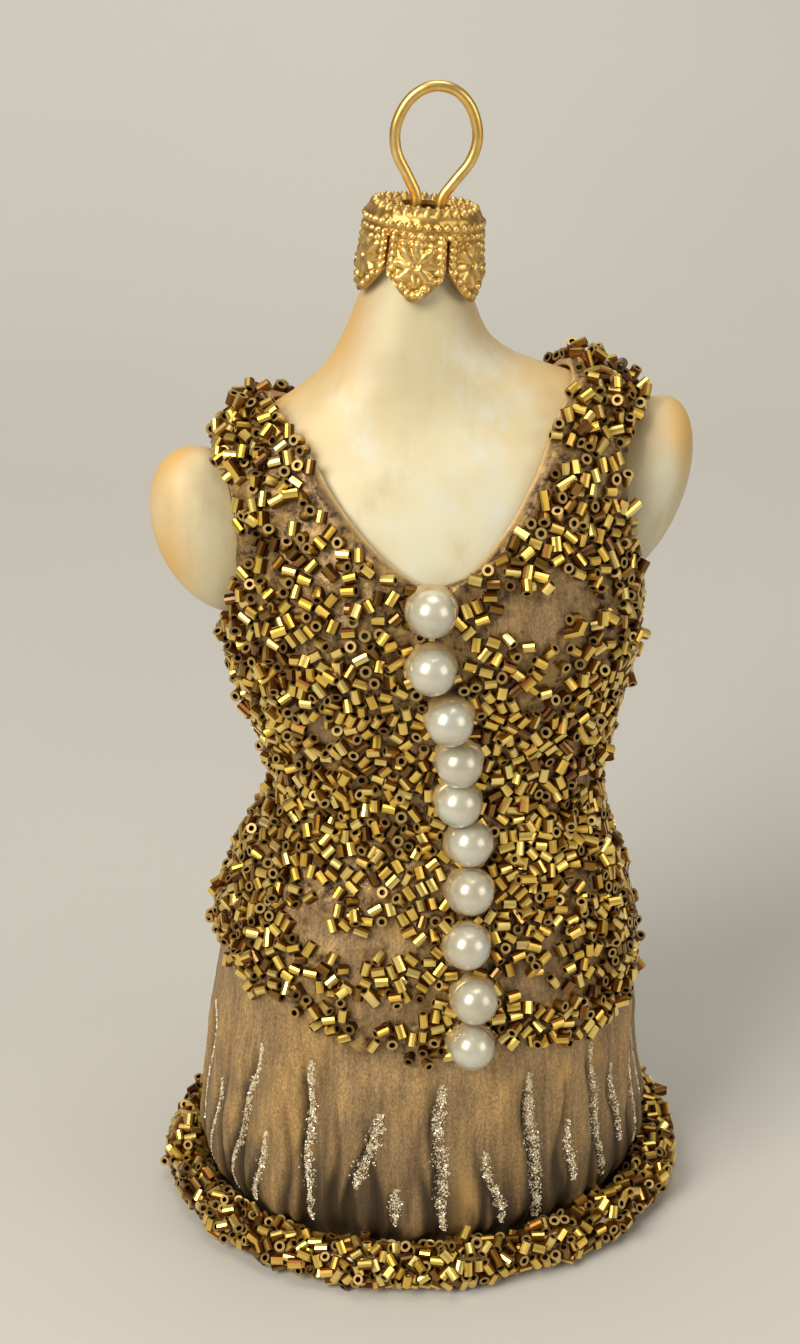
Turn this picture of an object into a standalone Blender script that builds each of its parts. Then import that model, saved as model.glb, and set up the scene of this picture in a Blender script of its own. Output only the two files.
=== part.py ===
# Mini dress with a beaded bodice on a limbless dress form, with a cap and a hanging loop.
# Sizes are in millimetres until a mesh is made. The front faces -Y, and the hem stands on Z = 0.

from collections import namedtuple
from math import radians

import bmesh
import bpy
import numpy as np
from mathutils import Matrix, Vector

MM = 0.001
GAP = 0.3  # where two pieces meet, as at a seam
EASE = 0.45  # between the form and the cloth
WALL = 1.0  # cloth

# The form, in level sections from the base to the mouth of the neck. sway moves a section's
# middle along X, and squareness is its superellipse power.
Section = namedtuple("Section", "height half_width front back squareness sway")
FIGURE = (
    Section(0.0, 25.3, 21.4, 21.4, 2.0, 0.0),
    Section(3.0, 25.5, 21.6, 21.6, 2.0, 0.0),
    Section(8.0, 26.7, 22.8, 22.8, 2.05, 0.1),
    Section(14.0, 25.9, 22.7, 22.3, 2.1, 0.0),
    Section(20.0, 25.0, 22.2, 21.6, 2.15, 0.2),
    Section(30.0, 24.2, 21.1, 20.2, 2.2, 0.6),
    Section(38.0, 23.4, 20.0, 18.8, 2.25, 0.7),
    Section(44.0, 21.7, 18.4, 17.2, 2.25, 0.9),
    Section(50.0, 19.4, 16.2, 14.9, 2.25, 1.6),
    Section(56.0, 17.5, 14.6, 12.8, 2.2, 2.4),
    Section(62.0, 18.5, 14.6, 12.2, 2.2, 2.5),
    Section(69.0, 20.6, 15.9, 13.0, 2.25, 2.3),
    Section(76.0, 22.0, 16.9, 13.9, 2.3, 2.1),
    Section(84.0, 22.4, 16.4, 14.2, 2.35, 1.9),
    Section(91.0, 22.5, 14.4, 13.2, 2.3, 1.8),
    Section(96.4, 22.8, 11.8, 11.4, 2.2, 1.7),
    Section(99.1, 22.7, 9.8, 9.8, 2.1, 1.7),
    Section(100.9, 20.8, 8.6, 8.8, 2.05, 1.6),
    Section(102.7, 17.6, 7.9, 8.2, 2.0, 1.4),
    Section(104.2, 14.4, 7.5, 7.8, 2.0, 1.2),
    Section(106.2, 10.9, 7.2, 7.4, 2.0, 0.9),
    Section(109.0, 8.3, 6.9, 7.0, 2.0, 0.6),
    Section(113.0, 6.5, 6.1, 6.1, 2.0, 0.7),
    Section(117.0, 5.2, 5.2, 5.2, 2.0, 1.1),
    Section(121.2, 4.9, 4.9, 4.9, 2.0, 1.6),
)
LEAN = 0.08  # how much the right shoulder stands above the left one, for each mm across
LEAN_FROM, LEAN_FULL, LEAN_FADES, LEAN_ENDS = 50.0, 92.0, 103.0, 112.0
CUP_RISE, CUP_ACROSS, CUP_HEIGHT, CUP_SPREAD = 1.7, 11.0, 77.5, 8.0

NECK_BORE_RADIUS, NECK_BORE_FLOOR = 3.7, 108.5
Levels = namedtuple("Levels", "low high count")
FORM_LEVELS = (Levels(0, 94, 28), Levels(95.5, 104.4, 9), Levels(106.4, 121.2, 7))
FORM_COLUMNS = 28

# Each arm stump is an ellipsoid whose top leans out by its tilt
Stump = namedtuple("Stump", "name side across height reach depth rise tilt")
STUMPS = (
    Stump("stump_right", 1, 23.8, 88.7, 5.6, 5.4, 11.3, 20),
    Stump("stump_left", -1, 24.4, 89.4, 6.7, 5.6, 10.2, 20),
)

# The dress's edges
HEM_EDGE = 1.2
ARMHOLE_HEIGHT, ARMHOLE_RISE, ARMHOLE_DEPTH = 88.3, 11.3, 7.6
SHOULDER_OUTER, SHOULDER_INNER = 99.2, 103.25  # the seam's two ends on the form's ridge
Edge = namedtuple("Edge", "height across")
FRONT_NECK = (
    Edge(85.6, 0.0), Edge(86.2, 2.3), Edge(87.6, 4.4), Edge(91.1, 7.8), Edge(95.0, 10.6), Edge(99.4, 13.2)
)
BACK_NECK = (Edge(95.6, 0.0), Edge(96.0, 4.2), Edge(97.2, 8.2), Edge(99.2, 11.6), Edge(101.0, 13.8))

NECK_ROLL, NECK_ROLL_WIDTH = 0.4, 1.2  # the soft raised roll beside the neckline

# The beaded crust stands out above its ragged lower edge, in lumps, with a few bare patches
CRUST, CRUST_WAVE = 1.15, 0.4
CRUST_PATCH, CRUST_SLOPE = 8.0, 1.8  # length of a lump, and of the slope at the lower edge
PEARL_STRIP, STRIP_SLOPE = 2.6, 2.0  # half the plain strip under the pearls
STRIP_FOOT, STRIP_HEAD = 27.0, 88.5
CrustEdge = namedtuple("CrustEdge", "turn height")
CRUST_EDGE = (
    CrustEdge(0, 29), CrustEdge(25, 28.5), CrustEdge(41, 28.8), CrustEdge(60, 28.6),
    CrustEdge(77, 31), CrustEdge(94, 29.4), CrustEdge(113, 29.6), CrustEdge(125, 34.3),
    CrustEdge(143, 35), CrustEdge(161, 35.8), CrustEdge(200, 36), CrustEdge(235, 32),
    CrustEdge(270, 30), CrustEdge(305, 32), CrustEdge(335, 30), CrustEdge(360, 29),
)

Bare = namedtuple("Bare", "turn height half_width half_height")
BARE_PATCHES = (
    Bare(64, 81, 4.5, 3.2), Bare(112, 43, 9.0, 2.0), Bare(104, 35.5, 5.0, 1.6), Bare(66, 37, 3.2, 2.4),
    Bare(128, 70, 3.0, 2.2), Bare(235, 66, 6.0, 2.2), Bare(290, 45, 7.0, 2.0), Bare(255, 84, 4.5, 2.6),
)

# Skirt folds: turn is the angle round the body, 90 at the centre front and 270 at the back
FOLD_RISE, FOLD_FOOT, FOLD_FULL, FOLD_FADES, FOLD_ENDS = 1.0, 4.5, 9.0, 22.0, 33.0
FOLD_TAIL = 4.0  # a fold fades over this much below and above its top
Fold = namedtuple("Fold", "turn bottom top half_width depth drift")
FOLDS = (  # drift is how far a fold's top lies round from its bottom
    Fold(8, 7, 27, 2.1, 0.8, 2), Fold(20, 6, 24, 2.0, 0.8, -2), Fold(31, 8, 23, 1.8, 0.7, 3),
    Fold(40, 7, 28, 2.1, 0.9, 4), Fold(52, 8, 19, 1.8, 0.6, 1), Fold(62, 6, 27, 2.4, 1.0, 4),
    Fold(72, 6, 18, 2.0, 0.8, 6), Fold(87, 5, 27, 2.2, 0.9, 1), Fold(99, 6, 14, 1.7, 0.6, -2),
    Fold(110, 8, 23, 2.6, 0.9, -9), Fold(121, 6, 29, 2.5, 1.0, 0), Fold(139, 6, 18, 1.8, 0.6, -6),
    Fold(150, 5, 29, 2.1, 0.9, -12), Fold(162, 6, 21, 1.9, 0.7, -6), Fold(170, 7, 28, 1.9, 0.8, 1),
    Fold(184, 7, 26, 2.0, 0.8, 2), Fold(203, 6, 22, 2.4, 0.9, -4), Fold(221, 6, 27, 2.2, 0.8, 5),
    Fold(238, 7, 20, 2.4, 0.9, 0), Fold(256, 6, 28, 2.3, 0.8, -6), Fold(274, 6, 24, 2.4, 0.9, 3),
    Fold(293, 7, 29, 2.2, 0.8, -2), Fold(311, 6, 21, 2.4, 0.9, 5), Fold(329, 6, 28, 2.2, 0.8, 0),
    Fold(346, 7, 24, 2.0, 0.7, -4),
)

HEM_HALF_WIDTH, HEM_HALF_DEPTH, HEM_RADIUS = 30.35, 26.4, 2.75
HEM_LUMPS, HEM_LUMP, HEM_LUMP_BASE = 34, 0.3, 0.15  # lumps round the roll, on its outer side
HEM_LUMP_WRAP, HEM_LUMP_TWIST = 0.6, 1.3

PEARL_RADIUS, PEARL_SUNK = 2.6, 1.0
Pearl = namedtuple("Pearl", "across height")
PEARLS = (
    Pearl(1.1, 83.5), Pearl(0.9, 77.5), Pearl(2.3, 71.8), Pearl(3.2, 66.1), Pearl(3.2, 60.0),
    Pearl(4.1, 54.2), Pearl(3.8, 48.5), Pearl(3.2, 42.8), Pearl(3.7, 36.8), Pearl(3.4, 31.3),
)

CAP_AT, CAP_TILT = (1.95, 0.0, 123.2), 6.0
CAP_SHEET, CAP_RADIUS, CAP_FLARE, CAP_HOLE = 0.45, 6.1, 6.9, 2.75
CAP_ROUND = 0.65  # the rounded rim
CAP_BAND, CAP_PETAL = 2.4, 9.0  # drop of the band, and of a petal's tip
CAP_PETALS, PETAL_COLUMNS, PETAL_ROWS, PETAL_SHARE = 6, 6, 4, 0.84
PETAL_POINT, PETAL_CURVE = 3.2, 1.5  # how far a petal's corners stop above its tip

LOOP_WIRE, LOOP_TILT, LOOP_SHIFT = 1.05, 7.5, 0.3
Bend = namedtuple("Bend", "half_gap height")
LOOP_BENDS = (
    Bend(2.6, -9.5), Bend(2.1, -5.5), Bend(1.5, -1.5), Bend(1.4, 0.9), Bend(2.5, 2.9),
    Bend(4.0, 5.3), Bend(4.4, 7.9), Bend(3.5, 10.5), Bend(1.9, 12.1),
)
LOOP_TOP = 12.6

SEAM = GAP / 2


def follow(heights, values, at):
    """Values between the rows of a table, on a smooth curve that never overshoots them."""
    heights = np.array(heights, float)
    values = np.array(values, float)
    step = np.diff(heights)
    slope = np.diff(values) / step
    tangent = np.zeros(len(values))
    before, after = slope[:-1], slope[1:]
    same = before * after > 0
    total = np.where(same, before + after, 1.0)
    tangent[1:-1] = np.where(same, 2 * before * after / total, 0.0)
    tangent[0], tangent[-1] = slope[0], slope[-1]
    at = np.clip(at, heights[0], heights[-1])
    row = np.clip(np.searchsorted(heights, at, side="right") - 1, 0, len(step) - 1)
    t = (at - heights[row]) / step[row]
    start = values[row] * (1 + 2 * t) * (1 - t) ** 2 + values[row + 1] * t * t * (3 - 2 * t)
    bend = tangent[row] * t * (1 - t) ** 2 - tangent[row + 1] * t * t * (1 - t)
    return start + step[row] * bend


def ease(low, high, value):
    """0 up to low, 1 from high, and a soft step between."""
    t = np.clip((value - low) / (high - low), 0.0, 1.0)
    return t * t * (3 - 2 * t)


def section(height):
    """Half width, front depth, back depth, squareness and sway at a height."""
    heights = [row.height for row in FIGURE]
    columns = zip(*[row[1:] for row in FIGURE])
    return [follow(heights, column, height) for column in columns]


def figure_point(turn, height):
    """A point of the form's skin. turn is 0 at the +X side and a quarter turn at the front."""
    half_width, front, back, squareness, sway = section(height)
    power = 2 / squareness
    cosine, sine = np.cos(turn), np.sin(turn)
    across = half_width * np.sign(cosine) * np.abs(cosine) ** power
    depth = np.where(sine >= 0, front, back) * np.sign(sine) * np.abs(sine) ** power
    cups = sum(
        np.exp(-((across - side) ** 2 + (height - CUP_HEIGHT) ** 2) / CUP_SPREAD**2)
        for side in (-CUP_ACROSS, CUP_ACROSS)
    )
    depth = depth + CUP_RISE * cups * np.clip(sine, 0, None)
    lean = LEAN * ease(LEAN_FROM, LEAN_FULL, height) * (1 - ease(LEAN_FADES, LEAN_ENDS, height))
    return np.stack([across + sway, -depth, height + lean * across], axis=-1)


def skin(turn, height, out):
    """A point that lies outside the form's skin by a distance along the skin's normal."""
    d_turn, d_height = 0.004, 0.05
    round_it = figure_point(turn + d_turn, height) - figure_point(turn - d_turn, height)
    up_it = figure_point(turn, height + d_height) - figure_point(turn, height - d_height)
    normal = np.cross(up_it, round_it)
    normal /= np.linalg.norm(normal, axis=-1, keepdims=True)
    return figure_point(turn, height) + normal * np.asarray(out)[..., None]


def edge_turn(away, height, is_front):
    """The turn at which the skin at a height lies this far in front of, or behind, the side."""
    _, front, back, squareness, _ = section(height)
    depth = front if is_front else back
    return np.arcsin(np.clip(away / depth, 0, 1) ** (squareness / 2))


def neck_turn(across, height):
    """The turn at which the skin at a height lies this far across from the middle."""
    half_width, _, _, squareness, _ = section(height)
    return np.arccos(np.clip(across / half_width, 0, 1) ** (squareness / 2))


def half_panel(is_front, neck, rows, columns):
    """Turns and heights of half a panel: from the side edge to the centre line or neckline."""
    neck_bottom = neck[0].height
    lower, upper = rows
    lower_rows = HEM_EDGE + (neck_bottom - HEM_EDGE) * np.linspace(0, 1, lower)
    middle = np.concatenate([lower_rows, np.zeros(upper)])
    side = middle.copy()
    climb = np.sin(np.linspace(0, np.pi / 2, upper + 1)[1:])
    lift = climb if is_front else climb**1.5
    middle[lower:] = neck_bottom + (SHOULDER_INNER - neck_bottom) * lift
    side[lower:] = neck_bottom + (SHOULDER_OUTER - neck_bottom) * climb
    drop = np.clip((side - ARMHOLE_HEIGHT) / ARMHOLE_RISE, -1, 1)
    away = np.maximum(SEAM, ARMHOLE_DEPTH * np.sqrt(1 - drop**2))
    away[-1] = SEAM
    side_turn = edge_turn(away, side, is_front)
    neck_heights = [row.height for row in neck] + [SHOULDER_INNER]
    inner_end = section(SHOULDER_INNER)[0]
    neck_across = [row.across for row in neck] + [inner_end]
    across = follow(neck_heights, neck_across, middle)
    middle_turn = np.where(middle > neck_bottom, neck_turn(across, middle), np.pi / 2)
    middle_turn[-1] = edge_turn(SEAM, SHOULDER_INNER, is_front)
    share = np.linspace(0, 1, columns + 1)
    turns = side_turn[:, None] + (middle_turn - side_turn)[:, None] * share
    heights = side[:, None] + (middle - side)[:, None] * share**1.5
    return turns, heights


def quads_of(rows, columns):
    """The faces of a grid of points, row by row."""
    index = np.arange(rows * columns).reshape(rows, columns)
    corners = [index[:-1, :-1], index[:-1, 1:], index[1:, 1:], index[1:, :-1]]
    return np.stack([corner.ravel() for corner in corners], axis=1)


def panel(is_front, neck, rows, columns):
    """Both halves of a panel as points (turn, height) and faces, joined at the centre line."""
    turns, heights = half_panel(is_front, neck, rows, columns)
    right = np.stack([turns.ravel(), heights.ravel()], axis=1)
    left = np.stack([np.pi - turns.ravel(), heights.ravel()], axis=1)
    faces = quads_of(*turns.shape)
    points = np.concatenate([right, left])
    faces = np.concatenate([faces, faces[:, ::-1] + len(right)])
    if not is_front:
        points[:, 0] *= -1
        faces = faces[:, ::-1]
    _, first, index = np.unique(points.round(7), axis=0, return_index=True, return_inverse=True)
    return points[first], index.reshape(-1)[faces]


def clear_of_pearls(turn, height):
    """0 on the plain strip under the pearls, and 1 away from it."""
    pearls = PEARLS[::-1]
    middle = follow([pearl.height for pearl in pearls], [pearl.across for pearl in pearls], height)
    across = np.abs(figure_point(turn, height)[..., 0] - middle)
    is_strip = (np.sin(turn) > 0) & (height < STRIP_HEAD) & (height > STRIP_FOOT)
    return np.where(is_strip, ease(PEARL_STRIP, PEARL_STRIP + STRIP_SLOPE, across), 1.0)


def crust(turn, height):
    """How far the beaded crust stands out: lumps that end at its ragged lower edge."""
    degrees = np.degrees(turn) % 360
    edge = np.interp(degrees, [row.turn for row in CRUST_EDGE], [row.height for row in CRUST_EDGE])
    wave = 2 * np.pi / CRUST_PATCH
    along = np.radians(degrees) * section(height)[0]
    pattern = np.sin(along * wave + 1.7 * np.sin(height * wave / 2))
    pattern = pattern * np.sin(height * wave + np.sin(along * wave / 2))
    kept = ease(edge, edge + CRUST_SLOPE, height)
    for bare in BARE_PATCHES:
        away = np.radians((degrees - bare.turn + 180) % 360 - 180) * section(height)[0]
        reach = (away / bare.half_width) ** 4 + ((height - bare.height) / bare.half_height) ** 4
        kept = kept * (1 - np.exp(-reach))
    return kept * (CRUST + CRUST_WAVE * pattern)


def folds(turn, height):
    """How far the skirt's folds stand out: soft ridges that sink to the wall in the troughs."""
    half_width, front = section(height)[:2]
    degrees = np.degrees(turn) % 360
    girth = (half_width + front) / 2
    kept = np.ones_like(degrees)
    for fold in FOLDS:
        along = np.clip((height - fold.bottom) / (fold.top - fold.bottom), 0, 1)
        middle = fold.turn + fold.drift * along
        away = np.radians((degrees - middle + 180) % 360 - 180) * girth
        trough = np.exp(-((away / fold.half_width) ** 2))
        fade = 1 - ease(fold.top - FOLD_TAIL, fold.top + FOLD_TAIL, height)
        kept = kept - fold.depth * trough * fade
    return FOLD_RISE * np.clip(kept, 0, 1) * ease(FOLD_FOOT, FOLD_FULL, height) * (
        1 - ease(FOLD_FADES, FOLD_ENDS, height)
    )


def neck_roll(turn, height, neck):
    """The soft raised roll that runs beside the neckline."""
    across = np.abs(figure_point(turn, height)[..., 0] - section(height)[4])
    edge = follow([row.height for row in neck], [row.across for row in neck], height)
    roll = np.exp(-(((across - edge) / NECK_ROLL_WIDTH - 1) ** 2))
    return NECK_ROLL * roll * (height > neck[0].height)


def wall(name, inner, outer, faces, material):
    """A closed wall between an inner and an outer surface that share their faces."""
    count = len(outer)
    ends = np.concatenate([np.stack([faces[:, i], faces[:, (i + 1) % 4]], axis=1) for i in range(4)])
    keys = {tuple(pair) for pair in ends.tolist()}
    border = np.array(sorted(pair for pair in keys if pair[::-1] not in keys))
    rim = np.stack([border[:, 1], border[:, 0], border[:, 0] + count, border[:, 1] + count], axis=1)
    points = np.concatenate([outer, inner])
    everything = np.concatenate([faces, faces[:, ::-1] + count, rim])
    return add_mesh(name, points, everything.tolist(), material)


def add_mesh(name, points, faces, material):
    """A closed mesh from points in millimetres, with its faces turned outwards."""
    mesh = bpy.data.meshes.new(name)
    mesh.from_pydata((np.asarray(points) * MM).tolist(), [], faces)
    shape = bmesh.new()
    shape.from_mesh(mesh)
    bmesh.ops.recalc_face_normals(shape, faces=shape.faces[:])
    shape.to_mesh(mesh)
    shape.free()
    return add_object(name, mesh, material)


def add_object(name, mesh, material):
    piece = bpy.data.objects.new(name, mesh)
    mesh.materials.clear()
    mesh.materials.append(material)
    mesh.shade_smooth()
    mesh.set_sharp_from_angle(angle=radians(50))
    parts.objects.link(piece)
    return piece


def add_material(name, color, roughness, metallic=0.0):
    material = bpy.data.materials.new(name)
    material.use_nodes = True
    shader = material.node_tree.nodes["Principled BSDF"]
    shader.inputs["Base Color"].default_value = (*color, 1.0)
    shader.inputs["Roughness"].default_value = roughness
    shader.inputs["Metallic"].default_value = metallic
    return material


def add_dress(bronze):
    """The front and back panels, which meet at the side and shoulder seams."""
    for name, is_front, neck, rows, columns in (
        ("dress_front", True, FRONT_NECK, (24, 9), 20),
        ("dress_back", False, BACK_NECK, (22, 7), 16),
    ):
        points, faces = panel(is_front, neck, rows, columns)
        turn, height = points.T
        raised = np.maximum(crust(turn, height), folds(turn, height)) * clear_of_pearls(turn, height)
        raised = np.maximum(raised, neck_roll(turn, height, neck))
        outer = skin(turn, height, EASE + WALL + raised)
        inner = skin(turn, height, np.full(len(turn), EASE))
        wall(name, inner, outer, faces, bronze)


def add_hem_band(gold):
    """The thick roll of beads round the hem, in a front and a back length."""
    stations, ring = 33, 10
    for name, start in (("hem_band_front", 0.0), ("hem_band_back", np.pi)):
        seam = SEAM / HEM_HALF_DEPTH
        turn = np.linspace(start + seam, start + np.pi - seam, stations)[:, None]
        roll = np.linspace(0, 2 * np.pi, ring, endpoint=False)[None, :]
        lump = HEM_LUMP_BASE + HEM_LUMP * np.sin(turn * HEM_LUMPS + HEM_LUMP_TWIST * np.sin(2 * roll))
        radius = HEM_RADIUS + lump * np.clip(np.cos(roll) + HEM_LUMP_WRAP, 0, 1)
        centre = np.stack(
            [HEM_HALF_WIDTH * np.cos(turn), -HEM_HALF_DEPTH * np.sin(turn), HEM_RADIUS + 0 * turn], -1
        )
        away = np.stack([HEM_HALF_DEPTH * np.cos(turn), -HEM_HALF_WIDTH * np.sin(turn), 0 * turn], -1)
        away /= np.linalg.norm(away, axis=-1, keepdims=True)
        points = centre + away * (radius * np.cos(roll))[..., None]
        points[..., 2] = np.maximum(0.0, points[..., 2] + radius * np.sin(roll))
        index = np.arange(stations * ring).reshape(stations, ring)
        beside = np.roll(index, -1, axis=1)
        sides = np.stack([index[:-1], index[1:], beside[1:], beside[:-1]], axis=-1).reshape(-1, 4)
        faces = sides.tolist() + [index[0].tolist(), index[-1][::-1].tolist()]
        add_mesh(name, points.reshape(-1, 3), faces, gold)


def add_pearls(pearl_white):
    """Ten cabochons: balls with a flat back that sits just off the front panel."""
    for number, pearl in enumerate(PEARLS, 1):
        sway = section(pearl.height)[4]
        turn = np.pi / 2 - np.arcsin((pearl.across - sway) / section(pearl.height)[0])
        here = np.array([turn]), np.array([pearl.height])
        foot = skin(*here, np.array([EASE + WALL + GAP]))[0]
        out = skin(*here, np.array([1.0]))[0] - figure_point(*here)[0]
        centre = Vector(foot) + Vector(out) * (PEARL_RADIUS - PEARL_SUNK)
        shape = bmesh.new()
        bmesh.ops.create_uvsphere(shape, u_segments=12, v_segments=7, radius=PEARL_RADIUS)
        cut = bmesh.ops.bisect_plane(
            shape, geom=shape.verts[:] + shape.edges[:] + shape.faces[:],
            plane_co=(0, 0, PEARL_SUNK - PEARL_RADIUS), plane_no=(0, 0, -1), clear_outer=True,
        )
        rim = [edge for edge in cut["geom_cut"] if isinstance(edge, bmesh.types.BMEdge)]
        bmesh.ops.contextual_create(shape, geom=rim)
        place = Matrix.Translation(centre * MM) @ Vector((0, 0, 1)).rotation_difference(
            Vector(out)).to_matrix().to_4x4() @ Matrix.Scale(MM, 4)
        bmesh.ops.transform(shape, matrix=place, verts=shape.verts[:])
        bmesh.ops.recalc_face_normals(shape, faces=shape.faces[:])
        mesh = bpy.data.meshes.new(f"pearl_{number:02d}")
        shape.to_mesh(mesh)
        shape.free()
        add_object(mesh.name, mesh, pearl_white)


def cutter_or_lobe(name, mesh):
    """A shape that only serves a Boolean."""
    piece = bpy.data.objects.new(name, mesh)
    piece.hide_render = True
    piece.display_type = "WIRE"
    helpers.objects.link(piece)
    return piece


def add_form(cream):
    """The dress form: a smooth body with two arm stumps and a bored neck on a flat base."""
    level = np.concatenate([np.linspace(*levels) for levels in FORM_LEVELS])
    turn = np.linspace(0, 2 * np.pi, FORM_COLUMNS, endpoint=False)
    points = figure_point(*np.meshgrid(turn, level))
    index = np.arange(len(level) * FORM_COLUMNS).reshape(len(level), FORM_COLUMNS)
    beside = np.roll(index, -1, axis=1)
    sides = np.stack([index[:-1], index[1:], beside[1:], beside[:-1]], axis=-1).reshape(-1, 4)
    faces = sides.tolist() + [index[0].tolist(), index[-1][::-1].tolist()]
    form = add_mesh("dress_form", points.reshape(-1, 3), faces, cream)
    for stump in STUMPS:
        shape = bmesh.new()
        bmesh.ops.create_uvsphere(shape, u_segments=18, v_segments=12, radius=1.0)
        across = stump.side * stump.across
        centre = Vector((section(stump.height)[4] + across, 0, stump.height + LEAN * across))
        place = (
            Matrix.Scale(MM, 4)
            @ Matrix.Translation(centre)
            @ Matrix.Rotation(radians(stump.side * stump.tilt), 4, "Y")
            @ Matrix.Diagonal((stump.reach, stump.depth, stump.rise, 1))
        )
        bmesh.ops.transform(shape, matrix=place, verts=shape.verts[:])
        mesh = bpy.data.meshes.new(stump.name)
        shape.to_mesh(mesh)
        shape.free()
        boolean(form, cutter_or_lobe(stump.name, mesh), "UNION")
    shape = bmesh.new()
    neck_top = FIGURE[-1].height
    depth = neck_top + 2 - NECK_BORE_FLOOR
    bmesh.ops.create_cone(
        shape, cap_ends=True, segments=20, radius1=NECK_BORE_RADIUS, radius2=NECK_BORE_RADIUS, depth=depth
    )
    neck_sway = section((NECK_BORE_FLOOR + neck_top) / 2)[4]
    place = Matrix.Scale(MM, 4) @ Matrix.Translation((neck_sway, 0, NECK_BORE_FLOOR + depth / 2))
    place = place @ Matrix.Rotation(radians(CAP_TILT), 4, "Y")
    bmesh.ops.transform(shape, matrix=place, verts=shape.verts[:])
    mesh = bpy.data.meshes.new("neck_bore")
    shape.to_mesh(mesh)
    shape.free()
    boolean(form, cutter_or_lobe("neck_bore", mesh), "DIFFERENCE")


def boolean(piece, tool, operation):
    modifier = piece.modifiers.new(tool.name, "BOOLEAN")
    modifier.operation = operation
    modifier.solver = "EXACT"
    modifier.object = tool


def cap_frame(tilt, shift=0.0):
    """The place and lean of the cap, or of the loop in its hole."""
    at = Matrix.Translation(Vector(CAP_AT) * MM)
    return at @ Matrix.Rotation(radians(tilt), 4, "Y") @ Matrix.Translation((shift * MM, 0, 0))


def add_cap(gold):
    """A pressed sheet: a disc with a hole, a rounded rim, a band and six pointed petals."""
    columns = CAP_PETALS * (PETAL_COLUMNS + 1)
    step = 2 * np.pi / CAP_PETALS
    petal = np.linspace(-0.5, 0.5, PETAL_COLUMNS + 1) * PETAL_SHARE * step
    angle = (np.arange(CAP_PETALS)[:, None] * step + petal - np.pi / 2).ravel()
    Ring = namedtuple("Ring", "radius drop")
    rings = (
        Ring(CAP_HOLE, 0.0), Ring((CAP_HOLE + CAP_RADIUS) / 2, 0.0), Ring(CAP_RADIUS - CAP_ROUND, 0.0),
        Ring(CAP_RADIUS, CAP_ROUND), Ring(CAP_RADIUS, CAP_BAND),
    )
    points = [
        np.stack([ring.radius * np.cos(angle), ring.radius * np.sin(angle), 0 * angle - ring.drop], -1)
        for ring in rings
    ]
    index = np.arange(len(rings) * columns).reshape(len(rings), columns)
    beside = np.roll(index, -1, axis=1)
    faces = np.stack([index[:-1], index[1:], beside[1:], beside[:-1]], axis=-1).reshape(-1, 4).tolist()
    across = np.tile(np.linspace(-1, 1, PETAL_COLUMNS + 1), CAP_PETALS)
    tip = CAP_PETAL - PETAL_POINT * np.abs(across) ** PETAL_CURVE
    last = index[-1]
    for row in range(1, PETAL_ROWS + 1):
        share = row / PETAL_ROWS
        drop = CAP_BAND + (tip - CAP_BAND) * share
        radius = CAP_RADIUS + (CAP_FLARE - CAP_RADIUS) * (drop - CAP_BAND) / (CAP_PETAL - CAP_BAND)
        points.append(np.stack([radius * np.cos(angle), radius * np.sin(angle), -drop], -1))
        below = last.max() + 1 + np.arange(columns)
        for column in range(columns):
            if (column + 1) % (PETAL_COLUMNS + 1):
                faces.append([last[column], below[column], below[column + 1], last[column + 1]])
        last = below
    mesh = bpy.data.meshes.new("crown_cap")
    flat = [[int(corner) for corner in face] for face in faces]
    mesh.from_pydata((np.concatenate(points) * MM).tolist(), [], flat)
    cap = add_object("crown_cap", mesh, gold)
    cap.matrix_world = cap_frame(CAP_TILT)
    sheet = cap.modifiers.new("sheet", "SOLIDIFY")
    sheet.thickness = CAP_SHEET * MM
    sheet.offset = 0.0
    sheet.use_even_offset = True


def add_loop(gold):
    """One wire: up from a spring leg, round the loop, and down to the other leg."""
    half = [(bend.half_gap, bend.height) for bend in LOOP_BENDS]
    corners = np.array([(-gap, height) for gap, height in half] + [(0, LOOP_TOP)] + half[::-1])
    padded = np.concatenate([2 * corners[:1] - corners[1:2], corners, 2 * corners[-1:] - corners[-2:-1]])
    route = []
    for a, b, c, d in zip(padded, padded[1:], padded[2:], padded[3:]):
        for t in (0.0, 0.5):
            route.append(0.5 * (
                2 * b + (c - a) * t + (2 * a - 5 * b + 4 * c - d) * t**2 + (3 * b - 3 * c + d - a) * t**3
            ))
    route.append(corners[-1])
    curve = bpy.data.curves.new("hanging_loop", "CURVE")
    curve.dimensions = "3D"
    curve.bevel_depth = LOOP_WIRE / 2 * MM
    curve.bevel_resolution = 2
    curve.use_fill_caps = True
    spline = curve.splines.new("POLY")
    spline.points.add(len(route) - 1)
    for point, (x, z) in zip(spline.points, route):
        point.co = (x * MM, 0, z * MM, 1)
    curve.materials.append(gold)
    loop = bpy.data.objects.new("hanging_loop", curve)
    loop.matrix_world = cap_frame(LOOP_TILT, LOOP_SHIFT)
    parts.objects.link(loop)


for old in list(bpy.data.objects):
    bpy.data.objects.remove(old)
parts = bpy.data.collections.new("mini_dress")
helpers = bpy.data.collections.new("helpers")
bpy.context.scene.collection.children.link(parts)
bpy.context.scene.collection.children.link(helpers)

bronze = add_material("bronze_paint", (0.30, 0.19, 0.09), 0.5, 0.4)
bead_gold = add_material("bead_gold", (0.62, 0.40, 0.10), 0.25, 0.9)
cream = add_material("pearl_cream_glass", (0.80, 0.72, 0.55), 0.25)
pearl_white = add_material("pearl_white", (0.88, 0.86, 0.82), 0.2)
cap_gold = add_material("cap_gold", (0.78, 0.55, 0.20), 0.35, 1.0)

add_dress(bronze)
add_hem_band(bead_gold)
add_pearls(pearl_white)
add_form(cream)
add_cap(cap_gold)
add_loop(cap_gold)
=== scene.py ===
import bpy
import numpy as np
from mathutils import Matrix, Vector


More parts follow.
